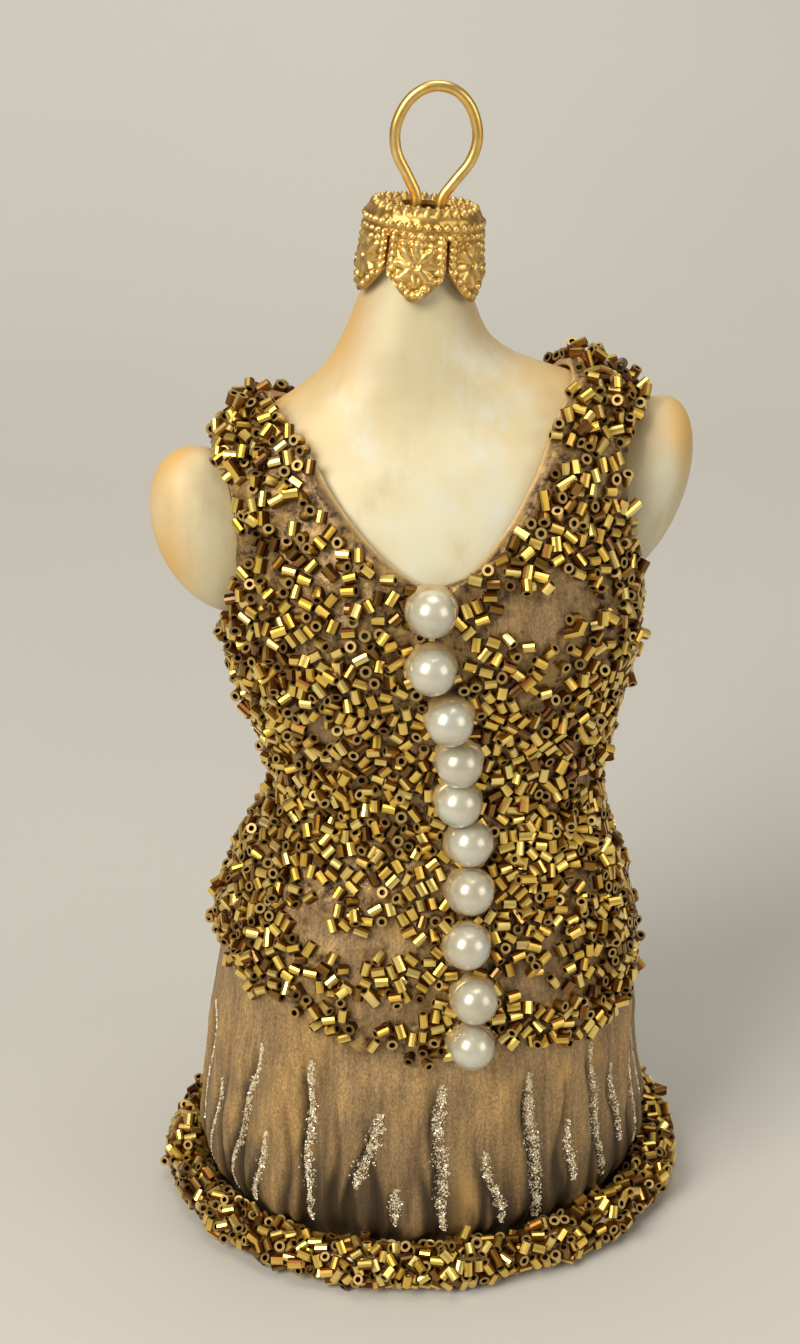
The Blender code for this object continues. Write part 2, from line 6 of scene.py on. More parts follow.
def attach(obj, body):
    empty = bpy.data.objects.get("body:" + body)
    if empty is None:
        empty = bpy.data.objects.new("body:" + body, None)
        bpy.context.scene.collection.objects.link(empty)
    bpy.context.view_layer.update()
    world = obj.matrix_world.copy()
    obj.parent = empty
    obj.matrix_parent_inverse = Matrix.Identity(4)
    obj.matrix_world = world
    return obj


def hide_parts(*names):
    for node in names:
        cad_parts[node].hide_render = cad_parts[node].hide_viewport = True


mm = 0.001
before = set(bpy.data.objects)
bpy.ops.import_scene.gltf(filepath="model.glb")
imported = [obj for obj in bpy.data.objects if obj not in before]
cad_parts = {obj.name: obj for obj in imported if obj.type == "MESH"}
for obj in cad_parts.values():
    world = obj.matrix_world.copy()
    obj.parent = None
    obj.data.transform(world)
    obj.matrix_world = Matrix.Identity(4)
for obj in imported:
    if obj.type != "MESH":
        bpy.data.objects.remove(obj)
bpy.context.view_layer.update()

# the glass body in level sections, base to mouth
figure = {
    "height": [0, 3, 8, 14, 20, 30, 38, 44, 50, 56, 62, 69, 76, 84, 91, 96.4, 99.1, 100.9,
               102.7, 104.2, 106.2, 109, 113, 117, 121.2],
    "halfWidth": [25.3, 25.5, 26.7, 25.9, 25, 24.2, 23.4, 21.7, 19.4, 17.5, 18.5, 20.6, 22, 22.4,
                  22.5, 22.8, 22.7, 20.8, 17.6, 14.4, 10.9, 8.3, 6.5, 5.2, 4.9],
    "front": [21.4, 21.6, 22.8, 22.7, 22.2, 21.1, 20, 18.4, 16.2, 14.6, 14.6, 15.9, 16.9, 16.4,
              14.4, 11.8, 9.8, 8.6, 7.9, 7.5, 7.2, 6.9, 6.1, 5.2, 4.9],
    "back": [21.4, 21.6, 22.8, 22.3, 21.6, 20.2, 18.8, 17.2, 14.9, 12.8, 12.2, 13, 13.9, 14.2,
             13.2, 11.4, 9.8, 8.8, 8.2, 7.8, 7.4, 7, 6.1, 5.2, 4.9],
    "squareness": [2, 2, 2.05, 2.1, 2.15, 2.2, 2.25, 2.25, 2.25, 2.2, 2.2, 2.25, 2.3, 2.35, 2.3,
                   2.2, 2.1, 2.05, 2, 2, 2, 2, 2, 2, 2],
    "sway": [0, 0, 0.1, 0, 0.2, 0.6, 0.7, 0.9, 1.6, 2.4, 2.5, 2.3, 2.1, 1.9, 1.8, 1.7, 1.7, 1.6,
             1.4, 1.2, 0.9, 0.6, 0.7, 1.1, 1.6],
    "lean": 0.08, "leanFrom": 50, "leanFull": 92, "leanFades": 103, "leanEnds": 112,
    "cupRise": 1.7, "cupAcross": 11, "cupHeight": 77.5, "cupSpread": 8,
}

dress = {
    "ease": 0.45, "wall": 1.0, "seam": 0.15, "hemEdge": 1.2, "rowsBelow": 108, "rowsAbove": 40,
    "armholeHeight": 88.3, "armholeRise": 11.3, "armholeDepth": 7.6,
    "shoulderOuter": 99.2, "shoulderInner": 103.25,
    "neckRoll": 0.45, "neckRollWidth": 1.1, "neckThin": 0.75, "goldEdge": 0.4,
    "glueRise": 0.2, "glueWave": 3.1, "brushRise": 0.05, "brushWave": 2.3,
}

# for each panel: its neckline, and its cut in metres
panels = {
    "dressFront": {
        "replaces": "dress_front", "facing": 1, "depth": "front", "columns": 116, "climb": 1.0,
        "height": [85.6, 86.2, 87.6, 91.1, 95.0, 99.4], "across": [0, 2.3, 4.4, 7.8, 10.6, 13.2],
        "cut": (0.087, 0.112), "area": 0.0069, "beadShare": 0.53,
    },
    "dressBack": {
        "replaces": "dress_back", "facing": -1, "depth": "back", "columns": 100, "climb": 1.5,
        "height": [95.6, 96.0, 97.2, 99.2, 101.0], "across": [0, 4.2, 8.2, 11.6, 13.8],
        "cut": (0.087, 0.111), "area": 0.0068, "beadShare": 0.47,
    },
}

# folds pressed into the skirt, by the turn of their foot in degrees (90 is the centre front), with
# the glitter brushed along them: from, to and width; short creases run up between them
folds = {
    "turn": [8, 20, 31, 40, 52, 62, 72, 87, 99, 110, 121, 139, 150, 162, 170, 184, 203, 221, 238,
             256, 274, 293, 311, 329, 346],
    "bottom": [7, 6, 8, 7, 8, 6, 6, 5, 6, 8, 6, 6, 5, 6, 7, 7, 6, 6, 7, 6, 6, 7, 6, 6, 7],
    "top": [27, 24, 23, 28, 19, 27, 18, 27, 14, 23, 29, 18, 29, 21, 28, 26, 22, 27, 20, 28, 24,
            29, 21, 28, 24],
    "halfWidth": [2.1, 2, 1.8, 2.1, 1.8, 2.4, 2, 2.2, 1.7, 2.6, 2.5, 1.8, 2.1, 1.9, 1.9, 2, 2.4,
                  2.2, 2.4, 2.3, 2.4, 2.2, 2.4, 2.2, 2],
    "depth": [0.8, 0.8, 0.7, 0.9, 0.6, 1, 0.8, 0.9, 0.6, 0.9, 1, 0.6, 0.9, 0.7, 0.8, 0.8, 0.9,
              0.8, 0.9, 0.8, 0.9, 0.8, 0.9, 0.8, 0.7],
    "drift": [2, -2, 3, 4, 1, 4, 6, 1, -2, -9, 0, -6, -12, -6, 1, 2, -4, 5, 0, -6, 3, -2, 5, 0, -4],
    "glitterFrom": [9, 7, 10, 7, 9, 5, 6, 6, 7, 12, 6, 6, 5, 6, 10, 8, 7, 7, 8, 7, 7, 8, 7, 7, 8],
    "glitterTo": [24, 20, 22, 27, 18, 26, 17, 26, 12.5, 22.5, 28, 17, 28, 19.5, 27, 24, 20, 25,
                  18, 26, 22, 27, 19, 26, 22],
    "glitterWidth": [0.9, 0.9, 0.8, 1.0, 1.0, 1.3, 1.0, 1.15, 1.0, 1.5, 1.3, 1.0, 1.0, 0.8, 0.8,
                     0.9, 1.1, 0.9, 1.1, 0.9, 1.1, 0.9, 1.1, 0.9, 0.9],
    "rise": 1.0, "foot": 3.5, "full": 6.5, "fades": 22.0, "ends": 33.0,
    "crease": 0.8, "creaseWidth": 0.4, "pleat": 0.14,
    "shortTurn": [3, 26, 46, 57, 67, 80, 93, 105, 115, 129, 145, 156, 177, 194, 212, 230, 247, 265,
                  284, 302, 320, 338],
    "shortTop": [22, 24, 19, 27, 18, 21, 25, 19, 27, 23, 20, 26, 22, 19, 25, 20, 24, 19, 25, 20,
                 24, 20],
    "shortWidth": 0.42, "shortDepth": 1.0, "beside": 1.35, "wander": 0.22, "shortWander": 0.5,
}
glitter = {"perSquareMm": 46, "size": 0.13, "beside": 0.7, "seed": 33}

# where the beads end below, and patches left bare: turn, height, half width, half height; of the
# beads this share lies down, this share leans or lies down, and the rest stand on end
beading = {
    "edgeTurn": [0, 25, 41, 60, 77, 94, 113, 125, 143, 161, 200, 235, 270, 305, 335, 360],
    "edgeHeight": [29, 28.5, 28.8, 28.6, 31, 29.4, 29.6, 34.3, 35, 35.8, 36, 32, 30, 32, 30, 29],
    "bare": [(64, 81, 4.5, 3.2), (112, 43, 9, 2), (104, 35.5, 5, 1.6), (66, 37, 3.2, 2.4),
             (128, 70, 3, 2.2), (235, 66, 6, 2.2), (290, 45, 7, 2), (255, 84, 4.5, 2.6)],
    "count": 2560, "extra": 340, "seed": 7, "rounds": 45, "gapWave": 4.2, "gapBelow": -0.78,
    "neckMargin": 1.9, "armMargin": 0.5, "top": 103.1, "bedded": 0.12, "flat": 0.62, "leaning": 0.85,
}
bead = {
    "halfLength": 0.74, "radius": 0.65, "hole": 0.35, "sides": 12, "sunk": 0.25, "spin": 0.25,
    "longer": 0.07, "wider": 0.035, "goldAbove": 0.6, "smoky": 0.12, "push": 0.22, "twist": 1.2,
}

pearls = {
    "across": [1.1, 0.9, 2.3, 3.2, 3.2, 4.1, 3.8, 3.2, 3.7, 3.4],
    "height": [83.5, 77.5, 71.8, 66.1, 60.0, 54.2, 48.5, 42.8, 36.8, 31.3],
    "radius": 2.62, "sunk": 1.0, "clear": 0.35, "rows": 26, "columns": 40,
}
hem = {
    "halfWidth": 30.35, "halfDepth": 26.4, "centre": 2.75, "core": 1.75, "lump": 0.34,
    "beads": 960, "extra": 170, "seed": 21, "rounds": 45, "rollFrom": -75, "rollTo": 188,
}


def follow(heights, values, at):
    # cubic between the rows of a table, with the harmonic mean of the slopes as tangents
    heights, values = np.array(heights, float), np.array(values, float)
    step = np.diff(heights)
    slope = np.diff(values) / step
    tangent = np.zeros(len(values))
    same = slope[:-1] * slope[1:] > 0
    total = np.where(same, slope[:-1] + slope[1:], 1.0)
    tangent[1:-1] = np.where(same, 2 * slope[:-1] * slope[1:] / total, 0.0)
    tangent[0], tangent[-1] = slope[0], slope[-1]
    at = np.clip(at, heights[0], heights[-1])
    row = np.clip(np.searchsorted(heights, at, side="right") - 1, 0, len(step) - 1)
    t = (at - heights[row]) / step[row]
    start = values[row] * (1 + 2 * t) * (1 - t) ** 2 + values[row + 1] * t * t * (3 - 2 * t)
    return start + step[row] * (tangent[row] * t * (1 - t) ** 2 - tangent[row + 1] * t * t * (1 - t))


def ease(low, high, value):
    t = np.clip((value - low) / (high - low), 0.0, 1.0)
    return t * t * (3 - 2 * t)


def bell(value):
    return np.exp(-(value**2))


def figureRow(name, height):
    return follow(figure["height"], figure[name], height)


def leanAt(height):
    lean = figure["lean"] * ease(figure["leanFrom"], figure["leanFull"], height)
    return lean * (1 - ease(figure["leanFades"], figure["leanEnds"], height))


def figurePoint(turn, height):
    # level superellipse: x = halfWidth cos^p, y = -depth sin^p, with p = 2 / squareness
    power = 2 / figureRow("squareness", height)
    cosine, sine = np.cos(turn), np.sin(turn)
    across = figureRow("halfWidth", height) * np.sign(cosine) * np.abs(cosine) ** power
    depth = np.where(sine >= 0, figureRow("front", height), figureRow("back", height))
    depth = depth * np.sign(sine) * np.abs(sine) ** power
    cups = 0.0
    for side in (-figure["cupAcross"], figure["cupAcross"]):
        away = (across - side) ** 2 + (height - figure["cupHeight"]) ** 2
        cups = cups + np.exp(-away / figure["cupSpread"] ** 2)
    depth = depth + figure["cupRise"] * cups * np.clip(sine, 0, None)
    raised = height + leanAt(height) * across
    return np.stack([across + figureRow("sway", height), -depth, raised], axis=-1)


def unit(vectors):
    return vectors / np.maximum(np.linalg.norm(vectors, axis=-1, keepdims=True), 1e-12)


def skin(turn, height, out):
    # figurePoint moved out along the surface's normal: returns point, two tangents, normal
    dTurn, dHeight = 0.004, 0.05
    roundIt = (figurePoint(turn + dTurn, height) - figurePoint(turn - dTurn, height)) / (2 * dTurn)
    upIt = (figurePoint(turn, height + dHeight) - figurePoint(turn, height - dHeight)) / (2 * dHeight)
    normal = unit(np.cross(upIt, roundIt))
    return figurePoint(turn, height) + normal * np.asarray(out)[..., None], roundIt, upIt, normal


def ripple(points, wave, seed):
    # soft noise from -1 to 1: sum of sines along seven fixed directions, wave is its length
    rng = np.random.default_rng(seed)
    total = 0.0
    for _ in range(7):
        direction = rng.normal(size=3)
        direction *= 2 * np.pi / wave / np.linalg.norm(direction) * rng.uniform(0.7, 1.4)
        total = total + np.sin(points @ direction + rng.uniform(0, 6.28))
    return total / 3.2


def arcFrom(turn, degrees, radius):
    # signed length along a level circle, from a turn given in degrees
    return np.radians((np.degrees(turn) % 360 - degrees + 180) % 360 - 180) * radius


def foldRelief(turn, height):
    # share of the ridge that the folds' gaussian troughs leave, how far it shows between the
    # skirt's foot and the hips, and narrow creases: a wandering one beside each trough, and
    # short ones between them
    girth = (figureRow("halfWidth", height) + figureRow("front", height)) / 2
    kept, crease = 1.0, 0.0
    rows = zip(*(folds[name] for name in ("turn", "bottom", "top", "halfWidth", "depth", "drift")))
    for at, bottom, top, halfWidth, depth, drift in rows:
        middle = at + drift * np.clip((height - bottom) / (top - bottom), 0, 1)
        away = arcFrom(turn, middle, girth)
        trough = depth * bell(away / halfWidth)
        kept = kept - trough * (1 - ease(top - 4, top + 4, height))
        away = away + folds["wander"] * np.sin(height * 0.6 + at) - folds["beside"]
        width = folds["creaseWidth"] * (1 + 1.1 * (1 - ease(bottom - 2, bottom + 7, height)))
        line = depth * bell(away / width)
        crease = np.maximum(crease, line * (1 - ease(top - 5, top, height)))
    for at, top in zip(folds["shortTurn"], folds["shortTop"]):
        away = arcFrom(turn, at, girth) + folds["shortWander"] * np.sin(height * 0.35 + at)
        low = 1 - ease(4, top, height)
        line = bell(away / (folds["shortWidth"] * (0.7 + 1.3 * low))) * low**0.4
        crease = np.maximum(crease, folds["shortDepth"] * line)
    above = 1 - ease(folds["fades"], folds["ends"], height)
    shown = ease(folds["foot"], folds["full"], height) * above
    return np.clip(kept, 0, 1), shown, crease * ease(2, 5, height) * above


def skirtRise(turn, height):
    # folds, creases and upright ripples between them
    kept, shown, crease = foldRelief(turn, height)
    around = np.asarray(turn) % (2 * np.pi) * 24
    pleats = ripple(np.stack([around, 0 * around, height * 0.12], -1), 2.6, 9)
    return folds["rise"] * kept * shown - folds["crease"] * crease + folds["pleat"] * pleats * shown


def beadMask(turn, height, soft=1.0):
    # 1 where beads are glued: above the ragged edge and outside the bare patches
    degrees = np.degrees(turn) % 360
    edge = np.interp(degrees, beading["edgeTurn"], beading["edgeHeight"])
    around = np.radians(degrees) * 22
    wave = ripple(np.stack([around, 0 * around, height], -1), 5.0, 51)
    kept = ease(edge - soft / 2, edge + soft, height + 0.9 * wave)
    for at, high, halfWidth, halfHeight in beading["bare"]:
        away = arcFrom(turn, at, figureRow("halfWidth", height))
        reach = ((away / halfWidth) ** 2 + ((height - high) / halfHeight) ** 2) ** 1.5
        kept = kept * (1 - np.exp(-0.75 * reach * np.exp(1.5 * wave)))
    return kept


def neckAcross(turn, height):
    # the neckline's half width at a height, in front or behind
    inner = figureRow("halfWidth", dress["shoulderInner"])
    front, back = (
        follow(panel["height"] + [dress["shoulderInner"]], panel["across"] + [inner], height)
        for panel in panels.values()
    )
    return np.where(np.sin(turn) >= 0, front, back)


def armhole(height):
    # place in the armhole's height, from -1 to 1, and the opening's half depth there
    drop = np.clip((height - dress["armholeHeight"]) / dress["armholeRise"], -1, 1)
    return drop, dress["armholeDepth"] * np.sqrt(1 - drop**2)


def halfPanel(panel):
    # rows from hem to shoulder, columns from the side edge to the centre line or neckline
    lower, upper, bottom = dress["rowsBelow"], dress["rowsAbove"], panel["height"][0]
    rise = (bottom - dress["hemEdge"]) * np.linspace(0, 1, lower)
    middle = np.concatenate([dress["hemEdge"] + rise, np.zeros(upper)])
    side = middle.copy()
    climb = np.sin(np.linspace(0, np.pi / 2, upper + 1)[1:])
    middle[lower:] = bottom + (dress["shoulderInner"] - bottom) * climb ** panel["climb"]
    side[lower:] = bottom + (dress["shoulderOuter"] - bottom) * climb
    away = np.maximum(dress["seam"], armhole(side)[1])
    away[-1] = dress["seam"]
    share = away / figureRow(panel["depth"], side)
    sideTurn = np.arcsin(np.clip(share, 0, 1) ** (figureRow("squareness", side) / 2))
    share = neckAcross(panel["facing"] * np.pi / 2, middle) / figureRow("halfWidth", middle)
    middleTurn = np.arccos(np.clip(share, 0, 1) ** (figureRow("squareness", middle) / 2))
    middleTurn = np.where(middle > bottom, middleTurn, np.pi / 2)
    middleTurn[-1] = sideTurn[-1]
    along = np.linspace(0, 1, panel["columns"] + 1)
    turns = sideTurn[:, None] + (middleTurn - sideTurn)[:, None] * along
    heights = side[:, None] + (middle - side)[:, None] * along**1.5
    return turns, heights


def gridQuads(rows, columns, closed=False):
    index = np.arange(rows * columns).reshape(rows, columns)
    if closed:
        index = np.concatenate([index, index[:, :1]], axis=1)
    corners = [index[:-1, :-1], index[:-1, 1:], index[1:, 1:], index[1:, :-1]]
    return np.stack([corner.ravel() for corner in corners], axis=1)


def panelGrid(panel):
    # both halves of a panel in surface coordinates, joined along the centre line
    turns, heights = halfPanel(panel)
    right = np.stack([turns.ravel(), heights.ravel()], axis=1)
    left = np.stack([np.pi - turns.ravel(), heights.ravel()], axis=1)
    quads = gridQuads(*turns.shape)
    points = np.concatenate([right, left])
    quads = np.concatenate([quads, quads[:, ::-1] + len(right)])
    if panel["facing"] < 0:
        points[:, 0] *= -1
        quads = quads[:, ::-1]
    _, first, index = np.unique(points.round(7), axis=0, return_index=True, return_inverse=True)
    return points[first], index.reshape(-1)[quads][:, ::-1]


def quadAreas(points, quads):
    # half the cross product of the diagonals
    corners = points[quads]
    cross = np.cross(corners[:, 2] - corners[:, 0], corners[:, 3] - corners[:, 1])
    return np.linalg.norm(cross, axis=1) / 2


def fan(ring, centre):
    # triangles from a closed ring of corners to one middle corner
    return np.stack([ring, np.roll(ring, -1), np.full(len(ring), centre)], axis=1)


def tube(rings, flip=False):
    # a run of closed rings with a fan over each end: points, quads and triangles
    rows, columns = rings.shape[:2]
    ring = np.arange(columns)
    points = np.concatenate([rings.reshape(-1, 3), rings[:1].mean(axis=1), rings[-1:].mean(axis=1)])
    quads = gridQuads(rows, columns, closed=True)
    last = ring + (rows - 1) * columns
    ends = np.concatenate([fan(ring[::-1], rows * columns), fan(last, rows * columns + 1)])
    return points, *((faces[:, ::-1] if flip else faces) for faces in (quads, ends))


def joinTubes(tubes):
    # several tubes as one mesh: points, and all quads before all triangles
    points, quads, ends = zip(*tubes)
    starts = np.cumsum([0] + [len(part) for part in points])
    faces = [np.concatenate([part + start for part, start in zip(kind, starts)]) for kind in (quads, ends)]
    return np.concatenate(points), faces


def acrossFrom(out):
    # two directions at right angles to a third and to each other
    side = unit(np.cross(out, [0.3, 0.2, 1.0]))
    return side, np.cross(out, side)


def closeWall(quads, count):
    # quads of an outer surface, of its inner twin, and of the rim between them
    ends = np.concatenate([np.stack([quads[:, i], quads[:, (i + 1) % 4]], axis=1) for i in range(4)])
    key = ends[:, 0] * count + ends[:, 1]
    border = ends[~np.isin(key, ends[:, 1] * count + ends[:, 0])]
    rim = np.stack([border[:, 1], border[:, 0], border[:, 0] + count, border[:, 1] + count], axis=1)
    return np.concatenate([quads, quads[:, ::-1] + count, rim])


def makePiece(name, points, faces, materials, slotName=None, materialIndex=None, sharp=None):
    # faces is one array of quads, or a list of arrays whose rows are faces
    groups = faces if isinstance(faces, list) else [faces]
    sizes = np.concatenate([np.full(len(group), group.shape[1]) for group in groups])
    corners = np.concatenate([group.ravel() for group in groups]).astype(np.int32)
    mesh = bpy.data.meshes.new(name)
    mesh.vertices.add(len(points))
    mesh.vertices.foreach_set("co", (np.asarray(points, float) * mm).ravel())
    mesh.loops.add(len(corners))
    mesh.loops.foreach_set("vertex_index", corners)
    mesh.polygons.add(len(sizes))
    mesh.polygons.foreach_set("loop_start", (np.cumsum(sizes) - sizes).astype(np.int32))
    for material in materials:
        mesh.materials.append(material)
    if materialIndex is not None:
        mesh.polygons.foreach_set("material_index", materialIndex.astype(np.int32))
    mesh.update(calc_edges=True)
    mesh.validate()
    mesh.shade_smooth()
    if sharp:
        mesh.set_sharp_from_angle(angle=np.radians(sharp))
    piece = bpy.data.objects.new(name, mesh)
    bpy.context.scene.collection.objects.link(piece)
    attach(piece, "root")
    return piece


def addNumber(piece, name, values):
    attribute = piece.data.attributes.new(name, "FLOAT", "POINT")
    attribute.data.foreach_set("value", np.asarray(values, np.float32).ravel())


class Paint:
    # a Principled material whose base colour is laid on in coats, each mixed over the last
    def __init__(self, name, colour=None, **sockets):
        self.material = bpy.data.materials.new(name)
        self.material.use_nodes = True
        self.tree = self.material.node_tree
        self.shader = self.tree.nodes["Principled BSDF"]
        self.colour = colour
        for socket, value in sockets.items():
            self.shader.inputs[socket.replace("_", " ")].default_value = value

    def plug(self, socket, value):
        if isinstance(value, bpy.types.NodeSocket):
            self.tree.links.new(value, socket)
        else:
            socket.default_value = value

    def node(self, kind, inputs=None, **settings):
        made = self.tree.nodes.new(kind)
        for name, value in settings.items():
            setattr(made, name, value)
        for name, value in (inputs or {}).items():
            self.plug(made.inputs[name], value)
        return made

    def number(self, name):
        # an attribute of the mesh
        return self.node("ShaderNodeAttribute", attribute_name=name).outputs["Fac"]

    def noise(self, scale, detail=3.0, stretch=(1, 1, 1), rough=0.55):
        where = self.node("ShaderNodeTexCoord").outputs["Object"]
        where = self.node("ShaderNodeMapping", {"Vector": where, "Scale": stretch}).outputs["Vector"]
        sockets = {"Vector": where, "Scale": scale, "Detail": detail, "Roughness": rough}
        return self.node("ShaderNodeTexNoise", sockets).outputs["Fac"]

    def math(self, operation, first, second):
        return self.node("ShaderNodeMath", {0: first, 1: second}, operation=operation).outputs[0]

    def times(self, first, second):
        return self.math("MULTIPLY", first, second)

    def ramp(self, factor, *stops):
        # stops are a place and a colour, or a place and one number for grey
        made = self.node("ShaderNodeValToRGB", {"Fac": factor})
        elements = made.color_ramp.elements
        while len(elements) < len(stops):
            elements.new(0.5)
        for element, (place, colour) in zip(elements, stops):
            element.position = place
            element.color = (*(colour if isinstance(colour, tuple) else [colour] * 3), 1.0)
        return made.outputs["Color"]

    def coat(self, factor, colour, blend="MIX"):
        made = self.node("ShaderNodeMix", data_type="RGBA", blend_type=blend)
        colour = (*colour, 1.0) if isinstance(colour, tuple) else colour
        for index, value in ((0, factor), (6, self.colour), (7, colour)):
            self.plug(made.inputs[index], value)
        self.colour = made.outputs[2]

    def link(self, name, value):
        self.tree.links.new(value, self.shader.inputs[name])

    def done(self):
        self.link("Base Color", self.colour)
        return self.material


def rampPaint(name, source, *stops, **sockets):
    # one ramp over an attribute of the mesh, or over noise of this scale
    paint = Paint(name, **sockets)
    factor = paint.number(source) if isinstance(source, str) else paint.noise(source)
    paint.colour = paint.ramp(factor, *stops)
    return paint.done()


def bronzePaint():
    paint = Paint("bronzePaint", Metallic=0.35, Roughness=0.6)
    # patches, upright brush marks of two widths, and grain
    patches, streaks = paint.noise(90, 4, (1, 1, 0.45)), paint.noise(420, 3, (1, 1, 0.09))
    brush, grain = paint.noise(1500, 3, (1, 1, 0.07)), paint.noise(4200, 3, (1, 1, 0.6))
    paint.colour = paint.ramp(
        patches, (0.34, (0.28, 0.19, 0.105)), (0.52, (0.40, 0.27, 0.14)), (0.68, (0.55, 0.34, 0.125)))
    paint.coat(0.5, paint.ramp(
        streaks, (0.35, (0.20, 0.13, 0.065)), (0.55, (0.42, 0.28, 0.13)), (0.72, (0.58, 0.385, 0.16))))
    # painted highlight: lighter warm colour on the fold crests
    paint.coat(paint.times(paint.number("crestHighlight"), 0.5), (0.55, 0.34, 0.14))
    # dark streaks, darker towards the bottom
    darkStreaks = paint.ramp(streaks, (0.40, 1), (0.56, 0))
    paint.coat(paint.times(darkStreaks, paint.number("low")), (0.05, 0.033, 0.018))
    paint.coat(0.8, paint.ramp(
        grain, (0.38, (0.62, 0.6, 0.56)), (0.55, 1), (0.74, (1.4, 1.35, 1.25))), "MULTIPLY")
    paint.coat(0.9, paint.ramp(
        brush, (0.36, (0.78, 0.77, 0.75)), (0.52, 1), (0.7, (1.2, 1.18, 1.14))), "MULTIPLY")
    warm = paint.ramp(paint.noise(150, 2, (1, 1, 0.6)), (0.62, 0), (0.72, 0.6))
    paint.coat(warm, (0.66, 0.40, 0.12))
    # painted shade in the fold troughs and creases and at the skirt's foot
    paint.coat(paint.number("trough"), (0.038, 0.024, 0.012))
    # the ground between the beads: amber glue with shining blotches, and dark blotches that are painted
    # shade among the beads
    glued, blotch = paint.number("glued"), paint.noise(850, 4, rough=0.62)
    paint.coat(paint.times(glued, 0.5), (0.17, 0.09, 0.02))
    paint.coat(paint.times(glued, paint.ramp(blotch, (0.38, 0.85), (0.48, 0))), (0.022, 0.007, 0.001))
    paint.coat(paint.times(glued, paint.ramp(blotch, (0.54, 0), (0.68, 0.9))), (0.52, 0.33, 0.09))
    paint.coat(paint.number("goldEdge"), (0.66, 0.47, 0.22))
    paint.link("Roughness", paint.math("SUBTRACT", 0.62, paint.times(glued, 0.2)))
    height = paint.math("ADD", paint.times(grain, 0.4), paint.times(brush, 0.9))
    height = paint.math("ADD", height, paint.times(glued, paint.times(blotch, 2.0)))
    bump = paint.node("ShaderNodeBump", {"Height": height, "Strength": 0.6, "Distance": 0.00016})
    paint.link("Normal", bump.outputs["Normal"])
    return paint.done()


def goldLining():
    # painted shade: darker where it lies deep among the other beads, low above the cloth
    paint = Paint("goldLining", Metallic=1.0, Roughness=0.34, Coat_Weight=0.6, Coat_Roughness=0.04,
                  Coat_IOR=1.5)
    paint.colour = paint.ramp(
        paint.number("tone"), (0.0, (0.18, 0.085, 0.010)), (0.10, (0.32, 0.16, 0.02)),
        (0.2, (0.74, 0.46, 0.06)), (0.55, (0.96, 0.65, 0.115)), (1.0, (1.0, 0.81, 0.29)))
    lift = paint.ramp(paint.number("lift"), (0.2, (0.35, 0.30, 0.22)), (0.75, 0.9), (1.0, 1))
    paint.coat(1.0, lift, "MULTIPLY")
    return paint.done()


def pearlGlass():
    paint = Paint("pearlGlass", Metallic=0.1, Roughness=0.5, Coat_Weight=0.1, Coat_Roughness=0.3)
    clouds, veils = paint.noise(60, 4, (1, 1, 0.6)), paint.noise(150, 5, (1, 1, 0.3), 0.6)
    paint.colour = paint.ramp(
        clouds, (0.3, (0.53, 0.43, 0.25)), (0.5, (0.63, 0.56, 0.36)), (0.7, (0.69, 0.64, 0.45)))
    paint.coat(0.35, paint.ramp(veils, (0.35, (0.62, 0.47, 0.25)), (0.6, (0.72, 0.66, 0.47))))
    # paler at the chest, and a pale band down the right stump that is a painted reflection
    paint.coat(paint.number("paleAndSheen"), (0.70, 0.68, 0.53))
    nacre = paint.noise(120, 5, (1, 1, 0.45), 0.65)
    paint.coat(paint.ramp(nacre, (0.54, 0), (0.68, 0.7)), (0.66, 0.69, 0.64))
    paint.coat(paint.ramp(nacre, (0.33, 0.55), (0.46, 0)), (0.50, 0.41, 0.25))
    paint.coat(paint.number("gilding"), (0.70, 0.43, 0.14))
    paint.link("Roughness", paint.ramp(veils, (0.3, 0.46), (0.7, 0.62)))
    return paint.done()


def satinGold():
    paint = Paint("satinGold", Metallic=1.0, Roughness=0.36)
    worn = paint.noise(500, 3)
    # brighter on the raised grains and stars, darker on the flat sheet and in the hollows: painted
    # highlight and shade
    paint.colour = paint.ramp(paint.number("relief"), (0.0, (0.52, 0.30, 0.07)),
                              (0.35, (0.76, 0.48, 0.14)), (0.8, (0.90, 0.62, 0.22)))
    paint.coat(0.3, paint.ramp(worn, (0.35, (0.62, 0.38, 0.11)), (0.65, (0.92, 0.66, 0.27))))
    paint.link("Roughness", paint.ramp(worn, (0.3, 0.3), (0.7, 0.44)))
    return paint.done()


bronze = bronzePaint()
# a bead's faces by slot: gold lining, sawn end, bore and dark flank; bore and flank are painted dark as
# shade
beadMaterials = [
    goldLining(),
    rampPaint("sawnGlassEnd", "tone", (0.0, (0.15, 0.075, 0.015)), (0.5, (0.34, 0.21, 0.06)),
              (1.0, (0.54, 0.38, 0.13)), Metallic=0.5, Roughness=0.4),
    # the bore painted near black as shade
    rampPaint("beadBoreShade", 900, (0.3, (0.004, 0.002, 0.001)), (0.7, (0.03, 0.014, 0.004)),
              Metallic=0.6, Roughness=0.6),
    rampPaint("amberFlankShade", "tone", (0.0, (0.05, 0.011, 0.0005)), (0.5, (0.12, 0.036, 0.002)),
              (1.0, (0.27, 0.12, 0.012)), Metallic=0.7, Roughness=0.3),
]
amberGlue = rampPaint("amberGlue", 700, (0.3, (0.09, 0.04, 0.006)), (0.7, (0.30, 0.17, 0.04)),
                      Roughness=0.18, Coat_Weight=0.6, Metallic=0.3)
paleGlue = rampPaint("paleGlue", 700, (0.3, (0.36, 0.25, 0.12)), (0.7, (0.56, 0.43, 0.24)),
                     Roughness=0.3, Coat_Weight=0.4, Metallic=0.2)
